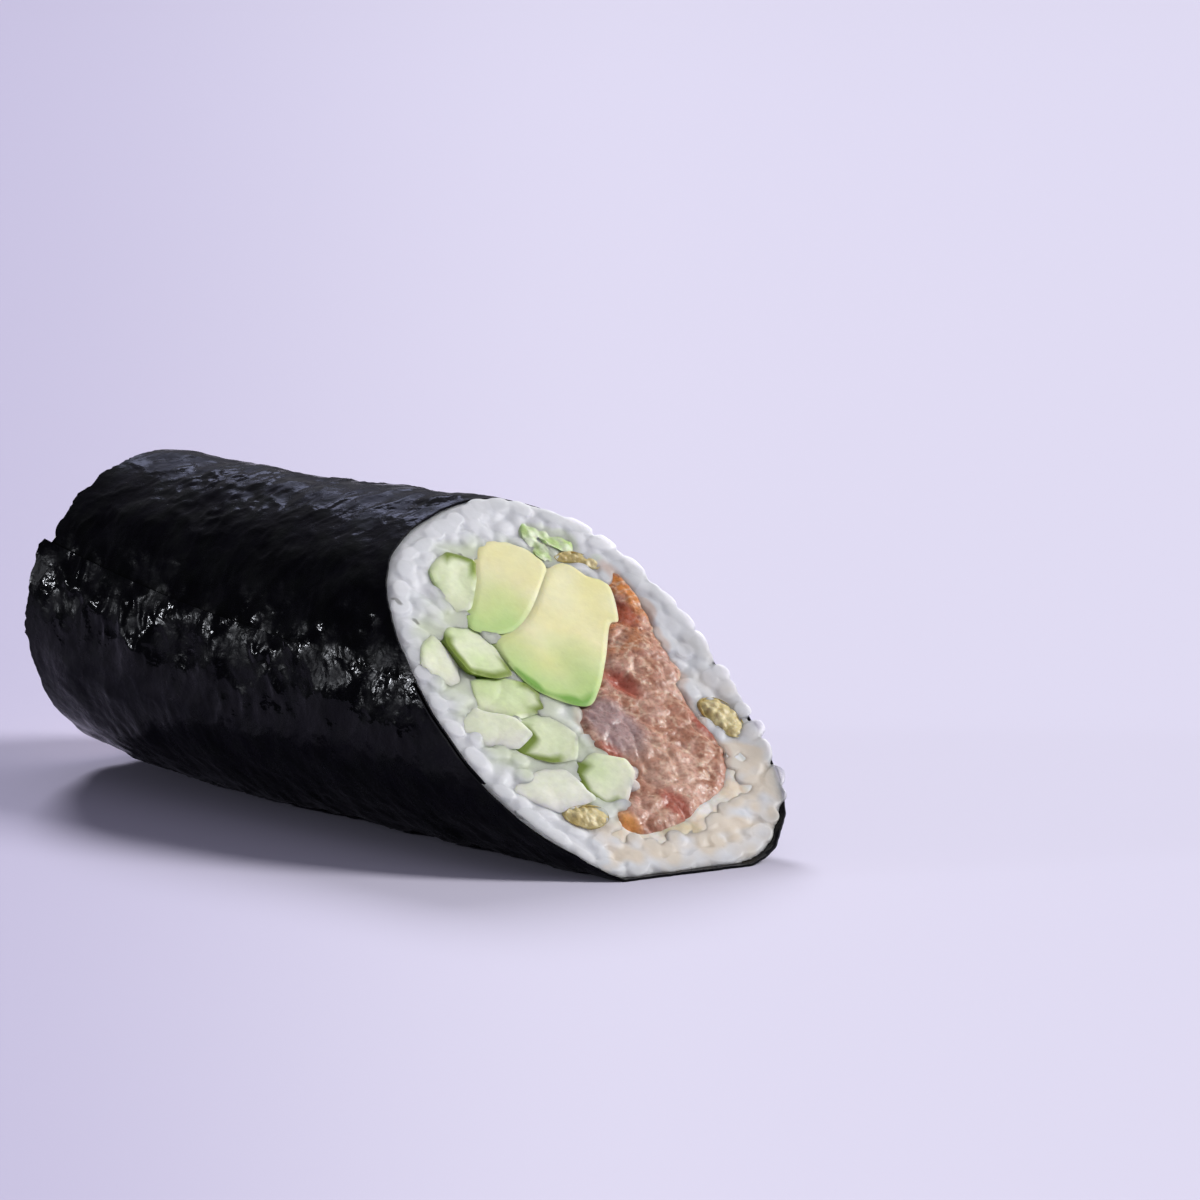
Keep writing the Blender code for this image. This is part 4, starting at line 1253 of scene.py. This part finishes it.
def held_in(points, proud, overhang):
    """Points kept inside the nori, apart from what leans out in front of its edge."""
    outside = -depth_in(LIMIT, points[:, 1:])
    place = nearest_on(LIMIT, points[:, 1:])[1]
    allowed = overhang * np.clip((proud - 0.00005) / 0.0002, 0.0, 1.0)
    over = outside > allowed
    share = (allowed[over] / np.maximum(outside[over], 1e-9))[:, None]
    points[over, 1:] = place[over] + (points[over, 1:] - place[over]) * share
    return points


def grain_shares(points, places, draw):
    """A random share for each point, the same all over one grain."""
    tree = kdtree.KDTree(len(places))
    for i, place in enumerate(places):
        tree.insert(place, i)
    tree.balance()
    shares = draw.uniform(0.0, 1.0, len(places))
    return np.array([shares[tree.find(spot)[1]] for spot in points.tolist()])


print("the knife leaves grains about", round(LEFT_PROUD * 1000, 2), "mm proud")

# %% Fused rice at both ends
LEAF_CLEARANCE, MAYO_CLEARANCE, CRUMB_CLEARANCE = 0.0009, -0.0016, 0.0006


def rice_end(name, face, outlines, grain_count, voxel, overhang, seed):
    """A bed of rice with real grains fused onto it, at the cut or at the back."""
    draw = np.random.default_rng(seed)
    bed = rice_bed(name, face, outlines, overhang)
    clear = list(outlines)
    clear[MAYO_INDEX] = grown(outlines[MAYO_INDEX], MAYO_CLEARANCE)
    clear[LEAF_INDEX] = grown(outlines[LEAF_INDEX], LEAF_CLEARANCE)
    clear[LEAF_INDEX + 1:] = [grown(crumb, CRUMB_CLEARANCE)
                              for crumb in outlines[LEAF_INDEX + 1:]]
    places = grain_places(clear, face, grain_count, draw, overhang)
    fused(bed, strewn(f"{name}_grains", places, OUT_OF[face], draw), voxel)
    points, proud = knifed(points_of(bed), face, overhang)
    points = held_in(points, proud, overhang)
    colors = rice_colors(points, grain_shares(points, places, draw))
    set_points(bed, bent(points))
    painted(bed, colors)
    bed.data.materials.clear()
    bed.data.materials.append(rice_finish)
    only(bed)
    bpy.ops.object.shade_smooth()
    print(name, len(places), "grains,", len(bed.data.polygons), "faces")
    return bed


rice_front = rice_end("rice_at_cut", FRONT, LONG_OUTLINES + CRISP_OUTLINES, grain_count=420,
                      voxel=0.00030, overhang=0.0014, seed=GRAIN_SEED)
rice_back = rice_end("rice_at_back", BACK, LONG_OUTLINES, grain_count=280,
                     voxel=0.00027, overhang=0.0, seed=GRAIN_SEED + 1)

# %% [markdown]
# Between the two ends the rice is hidden, but the roll isn't hollow. It could be filled with
# grains from end to end, which nobody would see, so a plain core with the same channels for
# the fillings carries the grains at both ends.

# %% Rice core
def rice_core():
    """The bed of rice between both ends, with channels for the fillings."""
    core = long_solid(trimmed_sheet("rice_core", LIMIT, LONG_OUTLINES + CRISP_OUTLINES,
                                    cell=(0.0009, 0.0008)), (0.2, 0.4, 0.55, 0.7, 0.85))
    points = stretched(points_of(core), 0.0022, 0.0018)
    set_points(core, bent(points))
    painted(core, rice_colors(points))
    core.data.materials.append(rice_finish)
    print("rice core", len(core.data.polygons), "faces")
    return core


core = rice_core()
bpy.data.objects.remove(grain)
for piece in (rice_front, rice_back, core):
    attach(piece, "root")
    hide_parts("rice")

# %% [markdown]
# Nori is a paper of pressed seaweed, far thinner than a millimetre. Damp rice under it makes
# it crinkle, and the film of water on the crinkles glints. A tube with a bump would have a
# smooth outline and no overlap, so the sheet is rolled up from a fine grid: large soft dents
# where grains press from inside, creases that run mostly round the roll, small crinkles on
# top, a torn back edge, and a wall of the real thickness at the end.

# %% Crinkles
def crinkles(points):
    """Puckers, sharp creases that run mostly round the roll, and small dents between them."""
    squeezed = points * np.array((1.25, 0.85, 0.85))
    puckers = 0.00032 * fbm(points, 0.0080, 2)
    patch = smoothstep(-0.05, 0.45, fbm(points + 0.8, 0.019, 1))
    creases = 0.00036 * np.maximum(0.25 - np.abs(fbm(squeezed, 0.0052, 2)), 0.0) / 0.25
    dents = -0.00055 * np.maximum(fbm(points + 0.2, 0.0036, 1) - 0.18, 0.0) * patch
    fine = 0.00022 * np.abs(fbm(squeezed + 0.5, 0.0021, 1)) * (0.35 + 0.65 * patch)
    return puckers + creases * (0.45 + 0.55 * patch) + dents + fine


print("along a ruler the nori rises and falls by", round(np.ptp(crinkles(ruler)) * 1000, 2), "mm")

# %% Nori rolled up
LAYER_STEP = 0.00075
SEAM_FRONT, SEAM_BACK = math.radians(173), math.radians(151)
OVERLAP, OVERLAP_RAMP = math.radians(28), math.radians(30)
WRINKLE_HEIGHT, WRINKLE_LENGTH = 0.0010, 0.012
FRONT_WAVE, BACK_RAGGED, OUTER_LAYER_EXTRA = 0.0003, 0.0010, 0.0013


def rolled(grid):
    """The flat grid's points rolled up in the straight roll, before and after crinkling."""
    along = grid[:, 0] + 0.5
    turn = (0.5 - grid[:, 1]) * (2.0 * math.pi + OVERLAP)
    angle = SEAM_BACK + (SEAM_FRONT - SEAM_BACK) * along + turn
    lap = 1.0 - smoothstep(1.1 * OVERLAP, OVERLAP + OVERLAP_RAMP, turn)
    radius = section_radius(angle) + LAYER_STEP * lap
    y, z = radius * np.cos(angle), radius * np.sin(angle)
    edge = np.stack((np.cos(angle), np.sin(angle), 0.0 * angle), axis=1)
    wave = fbm(edge, 1.0 / 8.0, 1) + 0.5 * fbm(edge, 1.0 / 40.0, 1)
    x = BACK_X + (cut_x(y, z) + FRONT_WAVE * wave - BACK_X) * along
    torn = fbm(edge, 1.0 / 6.8, 1) + 0.5 * fbm(edge, 1.0 / 30.0, 2)
    torn = BACK_RAGGED * torn - OUTER_LAYER_EXTRA * lap
    x += torn * (1.0 - smoothstep(0.0, 1.0 / 12.0, along))
    ends = smoothstep(0.0, 0.08, along) * (1.0 - smoothstep(0.94, 1.0, along))
    spots = np.stack((x, y, z), axis=1)
    radius += WRINKLE_HEIGHT * np.maximum(fbm(spots, WRINKLE_LENGTH, 1), 0.0) * ends
    radius += crinkles(spots) * (0.35 + 0.65 * ends)
    return spots, np.stack((x, radius * np.cos(angle), radius * np.sin(angle)), axis=1)


print("the nori overlaps by", round(OVERLAP * ROLL_RADIUS * 1000), "mm")

# %% Nori sheet
NORI_THICKNESS = 0.0004
NORI_COLUMNS, NORI_ROWS = 270, 160
NORI_BLACK, NORI_GREEN = (0.0028, 0.0026, 0.0044), (0.0052, 0.0058, 0.0060)


def make_nori():
    """One sheet rolled a full turn and an overlap, its free edge on the side."""
    deselect()
    bpy.ops.mesh.primitive_grid_add(x_subdivisions=NORI_ROWS, y_subdivisions=NORI_COLUMNS,
                                    size=1.0)
    sheet = bpy.context.object
    sheet.name = sheet.data.name = "nori_sheet"
    spots, straight = rolled(points_of(sheet))
    placed = bent(straight)
    placed[:, 2] = np.maximum(placed[:, 2], 0.0)
    set_points(sheet, placed)
    painted(sheet, mixed(NORI_BLACK, NORI_GREEN, 0.30 + 1.1 * fbm(spots, 0.004, 3)))
    wall = sheet.modifiers.new("wall", "SOLIDIFY")
    wall.thickness = NORI_THICKNESS
    wall.offset = -1.0
    only(sheet)
    bpy.ops.object.modifier_apply(modifier="wall")
    bpy.ops.object.shade_smooth_by_angle(angle=math.radians(60))
    return sheet


nori_finish = finish("damp_nori", 0.22, specular=0.08, mottle=0.35, mottle_size=0.0050,
                     bump=0.00011, bump_size=0.0014, rough_change=0.12)
nori = make_nori()
nori.data.materials.append(nori_finish)
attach(nori, "root")
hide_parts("nori")
print("nori", len(nori.data.polygons), "faces")
